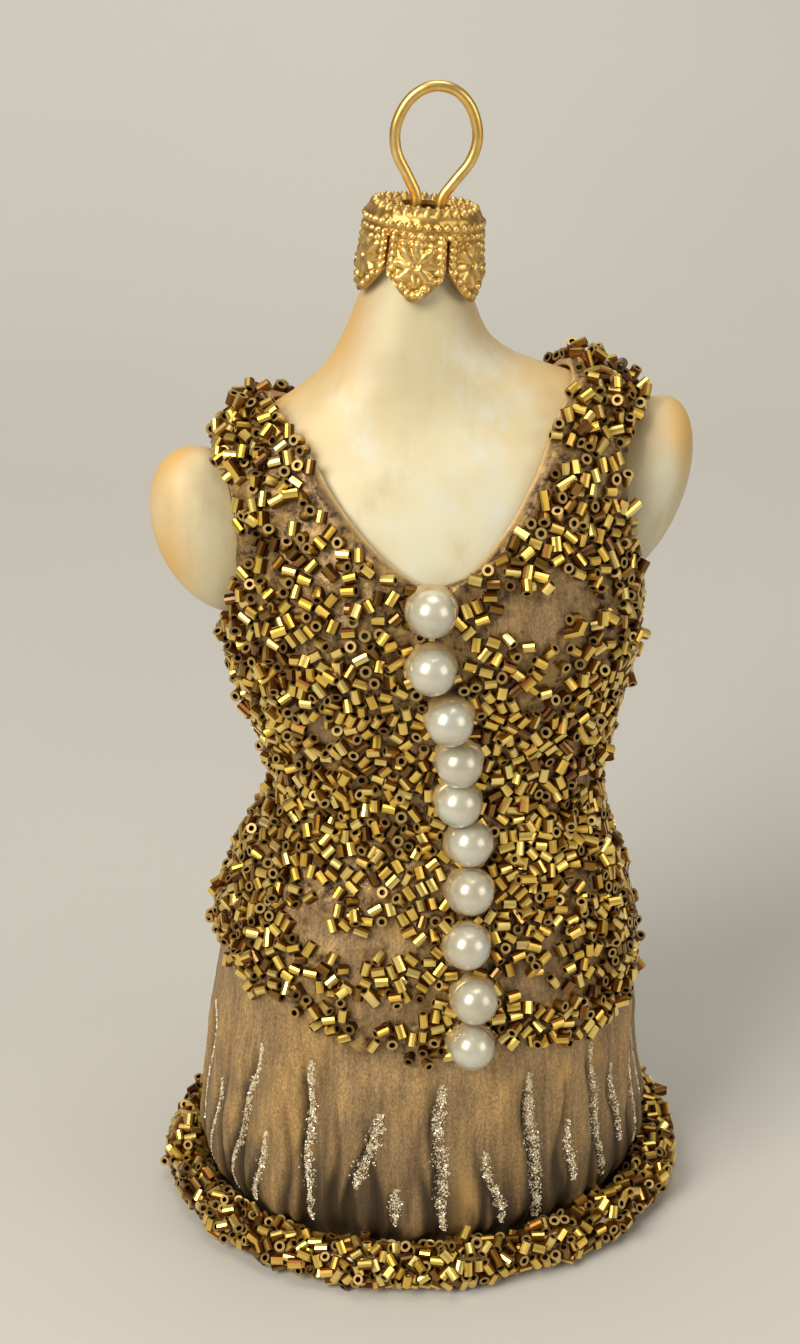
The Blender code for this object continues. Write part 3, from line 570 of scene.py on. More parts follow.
pearlWhite = rampPaint("pearlWhite", 260, (0.3, (0.52, 0.49, 0.38)), (0.55, (0.64, 0.62, 0.52)),
                       (0.75, (0.57, 0.61, 0.57)), Roughness=0.3, Coat_Weight=0.6, Coat_Roughness=0.15,
                       Metallic=0.35, Subsurface_Weight=0.15, Subsurface_Scale=0.002)
flake = rampPaint("glitter", "tone", (0.0, (0.62, 0.50, 0.30)), (0.3, (0.90, 0.78, 0.55)),
                  (0.7, (0.96, 0.89, 0.72)), (1.0, (1.0, 0.98, 0.90)), Metallic=0.5, Roughness=0.3)
wireGold = rampPaint("wireGold", 700, (0.3, (0.78, 0.50, 0.14)), (0.7, (0.92, 0.66, 0.25)),
                     Metallic=1.0, Roughness=0.34)
print("materials made")

# dress panels: a fine wall on the same surface as the solids
dressMade = {}
for name, panel in panels.items():
    coordinates, quads = panelGrid(panel)
    turn, height = coordinates.T
    kept, shown, crease = foldRelief(turn, height)
    mask = beadMask(turn, height)
    base = figurePoint(turn, height)
    fromNeck = np.abs(base[:, 0] - figureRow("sway", height)) - neckAcross(turn, height)
    bottom = panel["height"][0]
    # crust under the beads, rolled neck edge that thins to its rim, and brush marks
    roll = bell(fromNeck / dress["neckRollWidth"] - 1) * (height > bottom)
    crust = dress["glueRise"] * mask * (1 + ripple(base, dress["glueWave"], 3))
    raised = skirtRise(turn, height) + crust
    raised = raised + dress["neckRoll"] * roll + dress["brushRise"] * ripple(base, dress["brushWave"], 5)
    thin = dress["neckThin"] * bell(fromNeck) * (height > bottom - 1)
    outer = skin(turn, height, dress["ease"] + dress["wall"] + raised - thin)[0]
    inner = skin(turn, height, np.full(len(turn), dress["ease"]))[0]
    points, faces = np.concatenate([outer, inner]), closeWall(quads, len(outer))
    piece = makePiece(name, points, faces, [bronze], "dress", sharp=50)
    # painted shade in the troughs and creases and at the foot where the skirt meets the hem roll, stronger
    # lower down; glue, gold along the neck, and painted highlight on the crests
    low = 1 - ease(7, 20, height)
    trough = (1 - kept) ** 1.3 * shown * (0.25 + 0.6 * low) + crease * (0.72 + 0.28 * low)
    trough = trough + 0.7 * (1 - ease(folds["foot"], folds["full"], height))
    goldEdge = bell(fromNeck / dress["goldEdge"]) * (height > bottom) * 0.75
    crestHighlight = kept * shown * (0.5 + ripple(base, 6.0, 61))
    stain = 0.5 * ease(0.0, 1.0, ripple(base, 2.2, 71)) * ease(31, 37, height)
    glued = np.clip(mask + stain, 0, 1) * (1 - goldEdge)
    painted = {"trough": np.clip(trough, 0, 0.93), "glued": glued, "goldEdge": goldEdge,
               "crestHighlight": np.clip(crestHighlight, 0, 1), "low": 0.8 * (1 - ease(6, 17, height))}
    for label, values in painted.items():
        addNumber(piece, label, np.tile(values, 2))
    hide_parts(panel["replaces"])
    area = round(quadAreas(outer, quads).sum())
    print(name, "quads", len(piece.data.polygons), "cloth area in square mm", area)
    dressMade[name] = (piece, coordinates, quads, outer)
print("dress panels made")


def beadShape():
    # rings of (along, radius) for a closed tube: end face, side, end face, bore
    half, radius, hole = bead["halfLength"], bead["radius"], bead["hole"]
    rings = [(-half, hole), (-half, radius), (half, radius), (half, hole)]
    sides = bead["sides"]
    angle = (np.arange(sides) - 0.5) * 2 * np.pi / sides
    points = np.array([[(along, r * np.sin(a), r * np.cos(a)) for a in angle] for along, r in rings])
    index = np.arange(len(rings) * sides).reshape(len(rings), sides)
    index = np.concatenate([index, index[:1]])
    index = np.concatenate([index, index[:, :1]], axis=1)
    corners = [index[:-1, :-1], index[1:, :-1], index[1:, 1:], index[:-1, 1:]]
    quads = np.stack([corner.ravel() for corner in corners], axis=1)[:, ::-1]
    # the gold lining shows through the top facets; the flanks are amber glass painted dark, as the shade
    # and dark refracted edges of a clear bead
    flank = np.where(np.cos(angle + np.pi / sides) > bead["goldAbove"], 0, 3)
    slots = np.concatenate([np.full(sides, 1), flank, np.full(sides, 1), np.full(sides, 2)])
    return points.reshape(-1, 3), quads, slots


def nearPairs(points, within):
    # index pairs of points that lie this close
    points = points.astype(np.float32)
    squares = (points**2).sum(axis=1)
    distance = squares[:, None] + squares[None, :] - 2 * points @ points.T
    first, second = np.nonzero(np.triu(distance < within**2, 1))
    return first, second


def headed(place, a, b, heading):
    # foot, normal and the level direction of a bead's axis, from a surface with two tangents
    point, alongA, alongB, normal = place(a, b)
    ahead = unit(alongA)
    beside = np.cross(normal, ahead)
    axis = ahead * np.cos(heading)[:, None] + beside * np.sin(heading)[:, None]
    return point, alongA, alongB, normal, axis


def settle(place, allowed, a, b, heading, rounds):
    # pushes beads apart along the surface: each bead is two discs, and overlap moves and turns it
    reach = bead["halfLength"] - bead["radius"] * 0.62
    diameter = 2 * bead["radius"]
    for step in range(rounds):
        point, alongA, alongB, normal, axis = headed(place, a, b, heading)
        if step % 5 == 0:
            first, second = nearPairs(point, 2 * (reach + diameter / 2) + 0.4)
        shift = np.zeros_like(point)
        twist = np.zeros(len(a))
        for one in (-reach, reach):
            for other in (-reach, reach):
                armOne, armTwo = axis[first] * one, axis[second] * other
                gap = (point[first] + armOne) - (point[second] + armTwo)
                distance = np.linalg.norm(gap, axis=1)
                overlap = np.clip(diameter - distance, 0, None) * bead["push"]
                push = (overlap / np.maximum(distance, 1e-6))[:, None] * gap
                for which, arm, way in ((first, armOne, push), (second, armTwo, -push)):
                    np.add.at(shift, which, way)
                    np.add.at(twist, which, (np.cross(arm, way) * normal[which]).sum(axis=1))
        shift = np.clip(shift, -0.5, 0.5)
        newA = a + (shift * alongA).sum(axis=1) / (alongA**2).sum(axis=1)
        newB = b + (shift * alongB).sum(axis=1) / (alongB**2).sum(axis=1)
        stays = allowed(newA, newB)
        a, b = np.where(stays, newA, a), np.where(stays, newB, b)
        heading = heading + np.clip(twist * bead["twist"], -0.4, 0.4)
    return a, b, heading


def layBeads(place, a, b, heading, tilt, raisedBy, rng):
    # a bead's axis lies along the heading, lifted by tilt towards the normal, and it is spun a
    # little about that axis
    point, _, _, normal, flat = headed(place, a, b, heading)
    side = np.cross(normal, flat)
    axis = flat * np.cos(tilt)[:, None] + normal * np.sin(tilt)[:, None]
    third = np.cross(axis, side)
    spin = rng.normal(0, bead["spin"], len(a))[:, None]
    turnedSide = side * np.cos(spin) + third * np.sin(spin)
    third = third * np.cos(spin) - side * np.sin(spin)
    longer = rng.normal(1.0, bead["longer"], len(a)).clip(0.82, 1.25)
    longer = np.where(rng.random(len(a)) < 0.03, longer * 1.45, longer)
    wider = rng.normal(1.0, bead["wider"], len(a)).clip(0.9, 1.08)
    steep = np.abs(np.sin(tilt))
    stand = bead["radius"] * wider * np.cos(tilt) + bead["halfLength"] * longer * steep
    stand = stand - bead["sunk"] - 0.35 * steep
    centre = point + normal * (stand + raisedBy)[:, None]
    return centre, axis, turnedSide, third, longer, wider, normal, point


def beadMesh(name, laid, rng, floor):
    centre, axis, side, third, longer, wider, normal, foot = laid
    shape, quads, slots = beadShape()
    points = (
        centre[:, None]
        + shape[None, :, :1] * (axis * longer[:, None])[:, None]
        + shape[None, :, 1:2] * (side * wider[:, None])[:, None]
        + shape[None, :, 2:3] * (third * wider[:, None])[:, None]
    )
    if floor is not None:
        points[..., 2] += np.clip(floor - points[..., 2].min(axis=1), 0, None)[:, None]
    # height above the cloth in bead widths; it darkens the gold lining low down as painted shade
    lift = ((points - foot[:, None]) * normal[:, None]).sum(axis=-1) / (2 * bead["radius"])
    count = len(centre)
    faces = (quads[None] + np.arange(count)[:, None, None] * len(shape)).reshape(-1, 4)
    points, slots = points.reshape(-1, 3), np.tile(slots, count)
    piece = makePiece(name, points, faces, beadMaterials, None, slots, sharp=20)
    # most are gold in several tones, some are smoky brown
    tone = 0.2 + 0.8 * rng.beta(2.2, 1.8, count)
    tone = np.where(rng.random(count) < bead["smoky"], rng.uniform(0, 0.1, count), tone)
    addNumber(piece, "tone", np.repeat(tone, len(shape)))
    addNumber(piece, "lift", lift)
    return piece


def addBeads(names, laid, top, turn, rng, floor=None):
    # both layers of beads, as one piece in front and one behind
    laid = [np.concatenate([one, two]) for one, two in zip(laid, top)]
    isFront = np.sin(turn) >= 0
    for name, chosen in zip(names, (isFront, ~isFront)):
        piece = beadMesh(name, [part[chosen] for part in laid], rng, floor)
        print(name, int(chosen.sum()), "beads")


def onDress(turn, height):
    return skin(turn, height, np.full(len(turn), dress["ease"] + dress["wall"] + beading["bedded"]))


def pearlCentres():
    across, height = np.array(pearls["across"]), np.array(pearls["height"], float)
    turn = np.pi / 2 - np.arcsin((across - figureRow("sway", height)) / figureRow("halfWidth", height))
    point, _, _, normal = skin(turn, height, np.full(len(turn), dress["ease"] + dress["wall"] + 0.3))
    return point + normal * (pearls["radius"] - pearls["sunk"]), normal


pearlAt, pearlOut = pearlCentres()


def onDressAllowed(turn, height):
    # clear of neckline, armholes, pearls, bare patches and small gaps
    point = figurePoint(turn, height)
    fromNeck = np.abs(point[:, 0] - figureRow("sway", height)) - neckAcross(turn, height)
    front, back = (panel["height"][0] for panel in panels.values())
    neckBottom = np.where(np.sin(turn) >= 0, front, back)
    margin = beading["neckMargin"] * (1 - 0.85 * ease(95, 99, height))
    clearNeck = (height < neckBottom - beading["neckMargin"] * 0.8) | (fromNeck > margin)
    drop, opening = armhole(height)
    clearArm = (np.abs(drop) >= 1) | (np.abs(point[:, 1]) > opening + beading["armMargin"])
    masked = beadMask(turn, height, 0.3) > 0.5
    surface = onDress(turn, height)[0]
    masked &= (ripple(surface, beading["gapWave"], 71) > beading["gapBelow"]) | (height > 93)
    away = np.linalg.norm(surface[:, None] - pearlAt[None], axis=-1).min(axis=1)
    clearPearls = away > pearls["radius"] + pearls["clear"]
    return clearNeck & clearArm & masked & clearPearls & (height < beading["top"])


def sampleDress(count, rng):
    # random points of the panels, even over their area
    found = []
    for name, panel in panels.items():
        _, coordinates, quads, outer = dressMade[name]
        area = quadAreas(outer, quads)
        pick = rng.choice(len(quads), count * 3, p=area / area.sum())
        u, v = rng.random((2, len(pick), 1))
        cell = coordinates[quads[pick]]
        lower, upper = cell[:, 0] * (1 - u) + cell[:, 1] * u, cell[:, 3] * (1 - u) + cell[:, 2] * u
        spot = lower * (1 - v) + upper * v
        spot = spot[onDressAllowed(spot[:, 0], spot[:, 1])]
        found.append(spot[: int(count * panel["beadShare"])])
    return np.concatenate(found).T


def tilts(count, rng):
    # most beads lie down, some lean, a few stand on end and show their bore
    kind = rng.random(count)
    tilt = rng.normal(0, 0.12, count)
    tilt = np.where(kind > beading["flat"], rng.uniform(0.25, 0.85, count), tilt)
    tilt = np.where(kind > beading["leaning"], rng.uniform(1.1, 1.5, count), tilt)
    return tilt * rng.choice([-1, 1], count)


rng = np.random.default_rng(beading["seed"])
turn, height = sampleDress(beading["count"], rng)
heading = 2.6 * ripple(onDress(turn, height)[0], 9.0, 31) + rng.normal(0, 0.55, len(turn))
turn, height, heading = settle(onDress, onDressAllowed, turn, height, heading, beading["rounds"])
laid = layBeads(onDress, turn, height, heading, tilts(len(turn), rng), np.zeros(len(turn)), rng)
# a second layer of fewer beads, denser on the shoulders
weight = 1 + 6 * ease(94, 99, height)
pick = rng.choice(len(turn), beading["extra"], replace=False, p=weight / weight.sum())
topTurn = turn[pick] + rng.normal(0, 0.03, len(pick))
topHeight = height[pick] + rng.normal(0, 0.6, len(pick))
keep = onDressAllowed(topTurn, topHeight)
pick, topTurn, topHeight = pick[keep], topTurn[keep], topHeight[keep]
top = layBeads(onDress, topTurn, topHeight, heading[pick] + 1.3, rng.uniform(-0.9, 0.9, len(pick)),
               0.72 + 0.3 * ease(94, 99, topHeight), rng)
turn = np.concatenate([turn, topTurn])
addBeads(("beadsFront", "beadsBack"), laid, top, turn, rng)


def addGlitter():
    # flakes are small flat-sided tetrahedra strewn along one side of each crease
    rng = np.random.default_rng(glitter["seed"])
    turns, heights = [], []
    names = ("turn", "bottom", "top", "drift", "glitterFrom", "glitterTo", "glitterWidth")
    for at, bottom, top, drift, low, high, width in zip(*(folds[name] for name in names)):
        count = int(glitter["perSquareMm"] * (high - low) * width)
        along = rng.random(count)
        height = low + (high - low) * along
        middle = np.radians(at + drift * np.clip((height - bottom) / (top - bottom), 0, 1))
        taper = 0.35 + 0.65 * np.sin(np.pi * along.clip(0.02, 0.98)) ** 0.7
        lumps = 1 + 0.35 * np.sin(height * 1.9 + at) * np.sin(height * 0.83 + 2 * at)
        across = rng.uniform(-0.5, 0.5, count) + rng.normal(0, 0.16, count)
        across = across * width * taper * lumps + glitter["beside"] - 0.16 * np.sin(height * 0.6 + at)
        keep = rng.random(count) < 0.72 + 0.28 * np.sin(height * 2.7 + at)
        turns.append((middle + across / 24)[keep])
        heights.append(height[keep])
    turn, height = np.concatenate(turns), np.concatenate(heights)
    out = dress["ease"] + dress["wall"] + skirtRise(turn, height) + 0.05
    centre = skin(turn, height, out)[0]
    corners = np.array([(1, 1, 1), (1, -1, -1), (-1, 1, -1), (-1, -1, 1)]) / np.sqrt(3)
    first = unit(rng.normal(size=(len(turn), 3)))
    second = unit(np.cross(first, rng.normal(size=(len(turn), 3))))
    ways = (first, second, np.cross(first, second))
    size = glitter["size"] * rng.uniform(0.7, 1.45, (len(turn), 1, 1))
    turned = sum(corners[None, :, axis : axis + 1] * way[:, None] for axis, way in enumerate(ways))
    points = (centre[:, None] + turned * size).reshape(-1, 3)
    triangles = np.array([(0, 1, 2), (0, 2, 3), (0, 3, 1), (1, 3, 2)])
    faces = (triangles[None] + 4 * np.arange(len(turn))[:, None, None]).reshape(-1, 3)
    piece = makePiece("glitterStrokes", points, faces, [flake], "dress", sharp=20)
    addNumber(piece, "tone", np.repeat(rng.random(len(turn)), 4))
    print("glitter flakes", len(turn))


addGlitter()


def onHem(turn, roll):
    # an ellipse carried round at the hem, with a lumpy circle swept along it
    cosine, sine, level = np.cos(turn), np.sin(turn), 0 * turn
    around = np.stack([hem["halfWidth"] * cosine, -hem["halfDepth"] * sine, level + hem["centre"]], -1)
    away = unit(np.stack([hem["halfDepth"] * cosine, -hem["halfWidth"] * sine, level], -1))
    up = np.array([0, 0, 1.0])
    lump = hem["core"] + hem["lump"] * ripple(around, 7.0, 13)
    normal = away * np.cos(roll)[..., None] + up * np.sin(roll)[..., None]
    alongTurn = np.stack([-hem["halfWidth"] * sine, -hem["halfDepth"] * cosine, level], -1)
    alongRoll = (up * np.cos(roll)[..., None] - away * np.sin(roll)[..., None]) * hem["core"]
    return around + normal * lump[..., None], alongTurn, alongRoll, normal


# a glue core for each half of the hem, and beads glued over both
for name, start, replaced in (
    ("hemCoreFront", 0.0, "hem_band_front"),
    ("hemCoreBack", np.pi, "hem_band_back"),
):
    turn = np.linspace(start + 0.005, start + np.pi - 0.005, 180)
    roll = np.linspace(0, 2 * np.pi, 20, endpoint=False)
    points = onHem(*np.meshgrid(turn, roll, indexing="ij"))[0].reshape(-1, 3)
    points[:, 2] = np.maximum(points[:, 2], 0.4)
    quads = gridQuads(len(turn), len(roll), closed=True)[:, ::-1]
    piece = makePiece(name, points, quads, [amberGlue], "hem_beads")
    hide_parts(replaced)

rng = np.random.default_rng(hem["seed"])
low, high = np.radians(hem["rollFrom"]), np.radians(hem["rollTo"])


def onHemAllowed(turn, roll):
    return (roll > low) & (roll < high)


turn = rng.uniform(0, 2 * np.pi, hem["beads"])
roll = rng.uniform(low, high, hem["beads"])
heading = rng.uniform(0, np.pi, hem["beads"])
turn, roll, heading = settle(onHem, onHemAllowed, turn, roll, heading, hem["rounds"])
laid = layBeads(onHem, turn, roll, heading, tilts(len(turn), rng) * 0.9, np.zeros(len(turn)), rng)
# the second layer lies on the roll's outer and upper side
pick = rng.choice(len(turn), hem["extra"], replace=False)
pick = pick[np.abs(roll[pick] - np.pi / 3) < 1.2]
top = layBeads(onHem, turn[pick] + rng.normal(0, 0.02, len(pick)), roll[pick], heading[pick] + 1.4,
               rng.uniform(-0.8, 0.8, len(pick)), np.full(len(pick), 0.7), rng)
turn = np.concatenate([turn, turn[pick]])
addBeads(("hemBeadsFront", "hemBeadsBack"), laid, top, turn, rng, floor=0.0)

# pearls are open balls by polar angle about the way out, closed where they sink into the glue
polar = np.linspace(0.03, np.pi * 0.62, pearls["rows"])[:, None, None]
around = np.arange(pearls["columns"])[:, None] * 2 * np.pi / pearls["columns"]
# a collar of glue climbs to each pearl's widest part: radius and height from its centre
collarRadius = np.array([2.4, 2.64, 2.78, 2.9, 3.0, 3.0])[:, None, None]
collarHeight = np.array([-0.2, -0.2, -0.5, -0.9, -1.4, -1.9])[:, None, None]
collars = []
for number, (centre, out) in enumerate(zip(pearlAt, pearlOut), 1):
    side, other = acrossFrom(out)
    circle = side * np.cos(around) + other * np.sin(around)
    rings = centre + pearls["radius"] * (np.sin(polar) * circle + out * np.cos(polar))
    points, quads, ends = tube(rings, flip=True)
    piece = makePiece(f"pearl{number:02d}", points, [quads, ends], [pearlWhite], "pearls", sharp=60)
    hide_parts(f"pearl_{number:02d}")
    rings = centre + circle * collarRadius + out * collarHeight
    rings = rings + circle * (0.1 * ripple(rings, 2.4, 81))[..., None]
    collars.append(tube(rings, flip=True))
makePiece("pearlGlue", *joinTubes(collars), [paleGlue], "pearls", sharp=60)
print("pearls made")

form = {
    "columns": 200, "fillet": 0.4, "sink": 0.1,
    # levels of the rings: from, to, count; then mouth and bore: height and radius
    "levels": [(0, 94, 120), (94.5, 104, 50), (104.4, 121.2, 50)],
    "mouth": [(121.5, 4.75), (121.6, 4.4), (121.4, 3.9), (120.9, 3.7), (108.5, 3.7)],
    # stumps by side: across, height, reach, depth, rise, tilt in degrees
    1: (23.8, 88.7, 5.6, 5.4, 11.3, 20), -1: (24.4, 89.4, 6.7, 5.6, 10.2, 20),
}


def sideOfBody(depth, height, side):
    # x of the body's flank at a given y and z: its level section solved for x, the lean by repetition
    level = height
    for _ in range(4):
        n = figureRow("squareness", level)
        reach = np.clip(1 - (np.abs(depth) / figureRow("front", level)) ** n, 0, 1) ** (1 / n)
        across = side * figureRow("halfWidth", level) * reach
        level = height - leanAt(level) * across
    return across + figureRow("sway", level)


def stump(side, rows=64, columns=72):
    # ellipsoid by polar angle from its outer pole; x is the soft maximum of ellipsoid and flank,
    # so that the lobe runs into the body, and what lies under the flank sinks in a little
    across, height, reach, depth, rise, tilt = form[side]
    polar = np.linspace(0.03, np.pi - 0.03, rows)[:, None]
    around = np.arange(columns)[None] * 2 * np.pi / columns
    x = side * reach * np.cos(polar) + 0 * around
    y = depth * np.sin(polar) * np.cos(around)
    z = rise * np.sin(polar) * np.sin(around)
    tilt = np.radians(side * tilt)
    leftRight = figureRow("sway", height) + side * across + x * np.cos(tilt) + z * np.sin(tilt)
    upright = height + figure["lean"] * side * across - x * np.sin(tilt) + z * np.cos(tilt)
    flank = side * sideOfBody(y, upright, side)
    soft = form["fillet"] * np.logaddexp(side * leftRight / form["fillet"], flank / form["fillet"])
    soft = soft - form["sink"] * ease(0.5, 2.0, flank - side * leftRight)
    return np.stack([side * soft, y, upright], axis=-1)


def addForm():
    # the whole glass body: foot, figure, mouth and bore as one run of rings, and two stump lobes
    level = np.concatenate([np.linspace(*stretch) for stretch in form["levels"]])
    turn = np.arange(form["columns"]) * 2 * np.pi / form["columns"]
    body = figurePoint(*np.meshgrid(turn, level))
    body[..., 2] = np.where(level[:, None] == 0, 0, body[..., 2])
    height, radius = np.array(form["mouth"]).T[..., None]
    across = figureRow("sway", height) + radius * np.cos(turn)
    mouth = np.stack([across, -radius * np.sin(turn), 0 * turn + height], axis=-1)
    tubes = [tube(np.concatenate([body, mouth]), flip=True)]
    tubes += [tube(stump(side), flip=side > 0) for side in (1, -1)]
    points, faces = joinTubes(tubes)
    piece = makePiece("glassForm", points, faces, [pearlGlass()], "form_glass", sharp=50)
    x, y, z = points.T
    # gilded at the neck's left side, the left shoulder and the stumps' outer edges, whiter at the chest
    flank = ease(0.25, 1.0, np.abs(x - 0.8) / figureRow("halfWidth", np.clip(z, 0, 121)))
    neck = ease(100, 106, z) * (1 - 0.6 * ease(112, 121, z)) * flank
    shoulder = ease(94, 100, z) * (1 - ease(103, 110, z)) * ease(7, 15, np.abs(x))
    tip = np.where(x < 0, ease(23.0, 28.0, np.abs(x)) * (0.35 + 0.65 * ease(77, 88, z)),
                   0.65 * ease(28.0, 32.5, np.abs(x)) * ease(86, 94, z))
    gold = (0.85 * neck + 1.1 * shoulder) * np.where(x < 0, 1.0, 0.35) + tip * 1.05
    gold = gold * (0.75 + 0.5 * ripple(points, 14.0, 41)) + 0.06 * ripple(points, 9.0, 43)
    addNumber(piece, "gilding", np.clip(gold, 0, 0.9))
    # paler at the chest; the band down the right stump is a painted reflection
    paleAndSheen = np.exp(-(((x - 2) / 11) ** 2) - ((z - 90) / 8) ** 2)
    paleAndSheen = paleAndSheen + bell((x - 27) / 3.5) * ease(76, 84, z)
    addNumber(piece, "paleAndSheen", np.clip(paleAndSheen * (0.8 + 0.6 * ripple(points, 6.0, 45)), 0, 0.9))
    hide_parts("dress_form")


addForm()
print("glass form made")

cap = {
    "at": (1.95, 0, 123.2), "tilt": 6.0, "turn": -9.1, "sheet": 0.45, "radius": 6.1, "flare": 6.9,
    "hole": 2.65, "rim": 0.8, "band": 2.4, "petal": 9.0, "notch": 3.2, "petals": 6, "share": 0.95,
    "discRows": 30, "rimRows": 8, "bandRows": 18, "petalRows": 60, "petalColumns": 44, "gapColumns": 4,
    "granule": 0.47, "starAt": 5.1, "starRise": 0.34, "dent": 0.06,
    # rows of grains round the band: drop, spacing, radius; and on the disc: radius, count, size
    "bandGrains": [(1.15, 1.0, 0.4), (2.15, 1.0, 0.36)],
    "discGrains": [(5.35, 30, 0.42), (4.2, 22, 0.3), (3.2, 18, 0.32)],
}
loop = {
    "wire": 1.2, "tilt": 7.5, "shift": 0.3, "top": 12.6, "sides": 16, "steps": 10,
    "halfGap": [2.6, 2.1, 1.5, 1.4, 2.5, 4.0, 4.4, 3.5, 1.9],
    "height": [-9.5, -5.5, -1.5, 0.9, 2.9, 5.3, 7.9, 10.5, 12.1],
}


def onCap(points, tilt, shift=0.0):
    # tilted about Y by so many degrees, and set on the neck
    tilt = np.radians(tilt)
    x, y, z = points[..., 0] + shift, points[..., 1], points[..., 2]
    turned = np.stack([x * np.cos(tilt) + z * np.sin(tilt), y, z * np.cos(tilt) - x * np.sin(tilt)], -1)
    return turned + np.array(cap["at"])


def ball(size, awaySquared):
    # height of a half ball at a distance from its middle
    return np.sqrt(np.clip(size**2 - awaySquared, 0, None))


def granules(u, v, places, radius):
    # height of the nearest of many half balls
    across, along = np.array(places).T
    away = (u[..., None] - across) ** 2 + (v[..., None] - along) ** 2
    return ball(radius, away.min(axis=-1))


def petalRelief(u, drop, halfPetal, isGap):
    # granules round a petal's edge and at its root, and an eight-rayed star in its middle
    grains = []
    for number in range(7):
        grains += [(side * (halfPetal - 0.5), 2.6 + number * 0.78) for side in (-1, 1)]
    for number in range(4):
        share = 1 - (number + 0.5) / 4.5
        low = cap["petal"] - 0.65 - cap["notch"] * share**1.5
        grains += [(side * share * (halfPetal - 0.4), low) for side in (-1, 1)]
    grains.append((0, cap["petal"] - cap["rim"]))
    small = [(x, 3.0) for x in (-1.5, -0.5, 0.5, 1.5)]
    small += [(x, 7.2 - abs(x) * 0.5) for x in (-1.1, 0, 1.1)]
    relief = np.maximum(granules(u, drop, grains, cap["granule"] * 0.9), granules(u, drop, small, 0.34))
    away, spoke = np.hypot(u, drop - cap["starAt"]), np.arctan2(u, drop - cap["starAt"])
    beside = np.abs((spoke + np.pi / 8) % (np.pi / 4) - np.pi / 8) * away
    leaf = 0.13 + 0.36 * np.sin(np.clip(away / 2.7, 0, 1) * np.pi)
    ray = np.exp(-((beside / leaf) ** 4)) * ease(0.1, 0.5, away) * (1 - ease(2.2, 2.6, away))
    return np.maximum(relief, cap["starRise"] * ray * ~isGap) * (drop > 2.2)


def addCap():
    # a sheet turned over the neck: disc, rounded rim, band and petals, pressed with granules and
    # stars; columns run over the petals and the gaps between them, rows from the hole to the tips
    step = 2 * np.pi / cap["petals"]
    half, gap = 0.5 * cap["share"], cap["gapColumns"] + 2
    across = np.concatenate([np.linspace(-1, 1, cap["petalColumns"]), np.linspace(1, 3, gap)[1:-1]])
    angle = np.concatenate([np.linspace(-0.5, 0.5, cap["petalColumns"]) * cap["share"],
                            np.linspace(half, 1 - half, gap)[1:-1]]) * step
    angle = (angle[None] + np.arange(cap["petals"])[:, None] * step).ravel()
    across = np.tile(across, cap["petals"])
    isGap = np.abs(across) > 1
    bend = np.linspace(0, np.pi / 2, cap["rimRows"] + 1)[1:]
    flat = cap["radius"] - cap["rim"]
    band = cap["radius"] + 0.05
    radius = np.concatenate([np.linspace(cap["hole"], flat, cap["discRows"]),
                             flat + cap["rim"] * np.sin(bend),
                             np.full(cap["bandRows"] + cap["petalRows"], band)])
    drop = np.concatenate([np.zeros(cap["discRows"]), cap["rim"] * (1 - np.cos(bend)),
                           np.linspace(cap["rim"], cap["band"], cap["bandRows"] + 1)[1:]])
    tip = cap["petal"] - cap["notch"] * np.clip(np.abs(across), 0, 1) ** 1.5
    below = np.linspace(0, 1, cap["petalRows"] + 1)[1:, None]
    drop = np.tile(drop[:, None], len(angle))
    drop = np.concatenate([drop, cap["band"] + (tip - cap["band"]) * below])
    share = np.clip((drop - cap["band"]) / (cap["petal"] - cap["band"]), 0, 1)
    radius = radius[:, None] + (cap["flare"] - cap["radius"]) * share**1.4
    # outward direction of the sheet: up on the disc, out on the band
    upright = np.full(cap["bandRows"] + cap["petalRows"], np.pi / 2)
    steep = np.concatenate([np.zeros(cap["discRows"]), bend, upright])[:, None]
    u = (angle - np.round(angle / step) * step) * cap["radius"] + 0 * drop
    relief = petalRelief(u, drop, half * step * cap["radius"], isGap)
    for at, spacing, size in cap["bandGrains"]:
        offset = (angle * cap["radius"] + 0 * drop + at * 0.5) % spacing - spacing / 2
        grains = ball(size, offset**2 + (drop - at) ** 2)
        relief = np.maximum(relief, grains * (drop > 0.3) * (steep > 0.5))
    for at, count, size in cap["discGrains"]:
        spacing = 2 * np.pi / count
        offset = (angle % spacing - spacing / 2) * at
        grains = ball(size, offset**2 + (radius - at) ** 2)
        relief = np.maximum(relief, grains * (steep < 1.2) * (drop < 0.9))
    where = np.stack([radius * np.cos(angle), radius * np.sin(angle), drop], -1)
    relief = relief + cap["dent"] * ripple(where, 1.3, 17)
    index = np.arange(drop.size).reshape(drop.shape)
    beside = np.roll(index, -1, axis=1)
    quads = np.stack([index[:-1], index[1:], beside[1:], beside[:-1]], axis=-1)
    # nothing between the petals below the band
    isOpen = np.zeros(quads.shape[:2], bool)
    isOpen[len(drop) - cap["petalRows"] - 1 :] = isGap[None] | np.roll(isGap, -1)[None]
    used, index = np.unique(quads[~isOpen], return_inverse=True)
    turned = angle + np.radians(cap["turn"] - 90)
    walls = []
    for out in (cap["sheet"] / 2 + relief, 0 * relief - cap["sheet"] / 2):
        reach = radius + out * np.sin(steep)
        wall = np.stack([reach * np.cos(turned), reach * np.sin(turned), out * np.cos(steep) - drop], -1)
        walls.append(wall.reshape(-1, 3)[used])
    faces = closeWall(index.reshape(-1, 4), len(used))
    points = onCap(np.concatenate(walls), cap["tilt"])
    piece = makePiece("crownCap", points, faces, [satinGold()], "cap", sharp=55)
    # relief height drives the cap's painted highlight and shade
    addNumber(piece, "relief", np.concatenate([relief.ravel()[used] / 0.42, np.zeros(len(used))]))
    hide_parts("crown_cap")


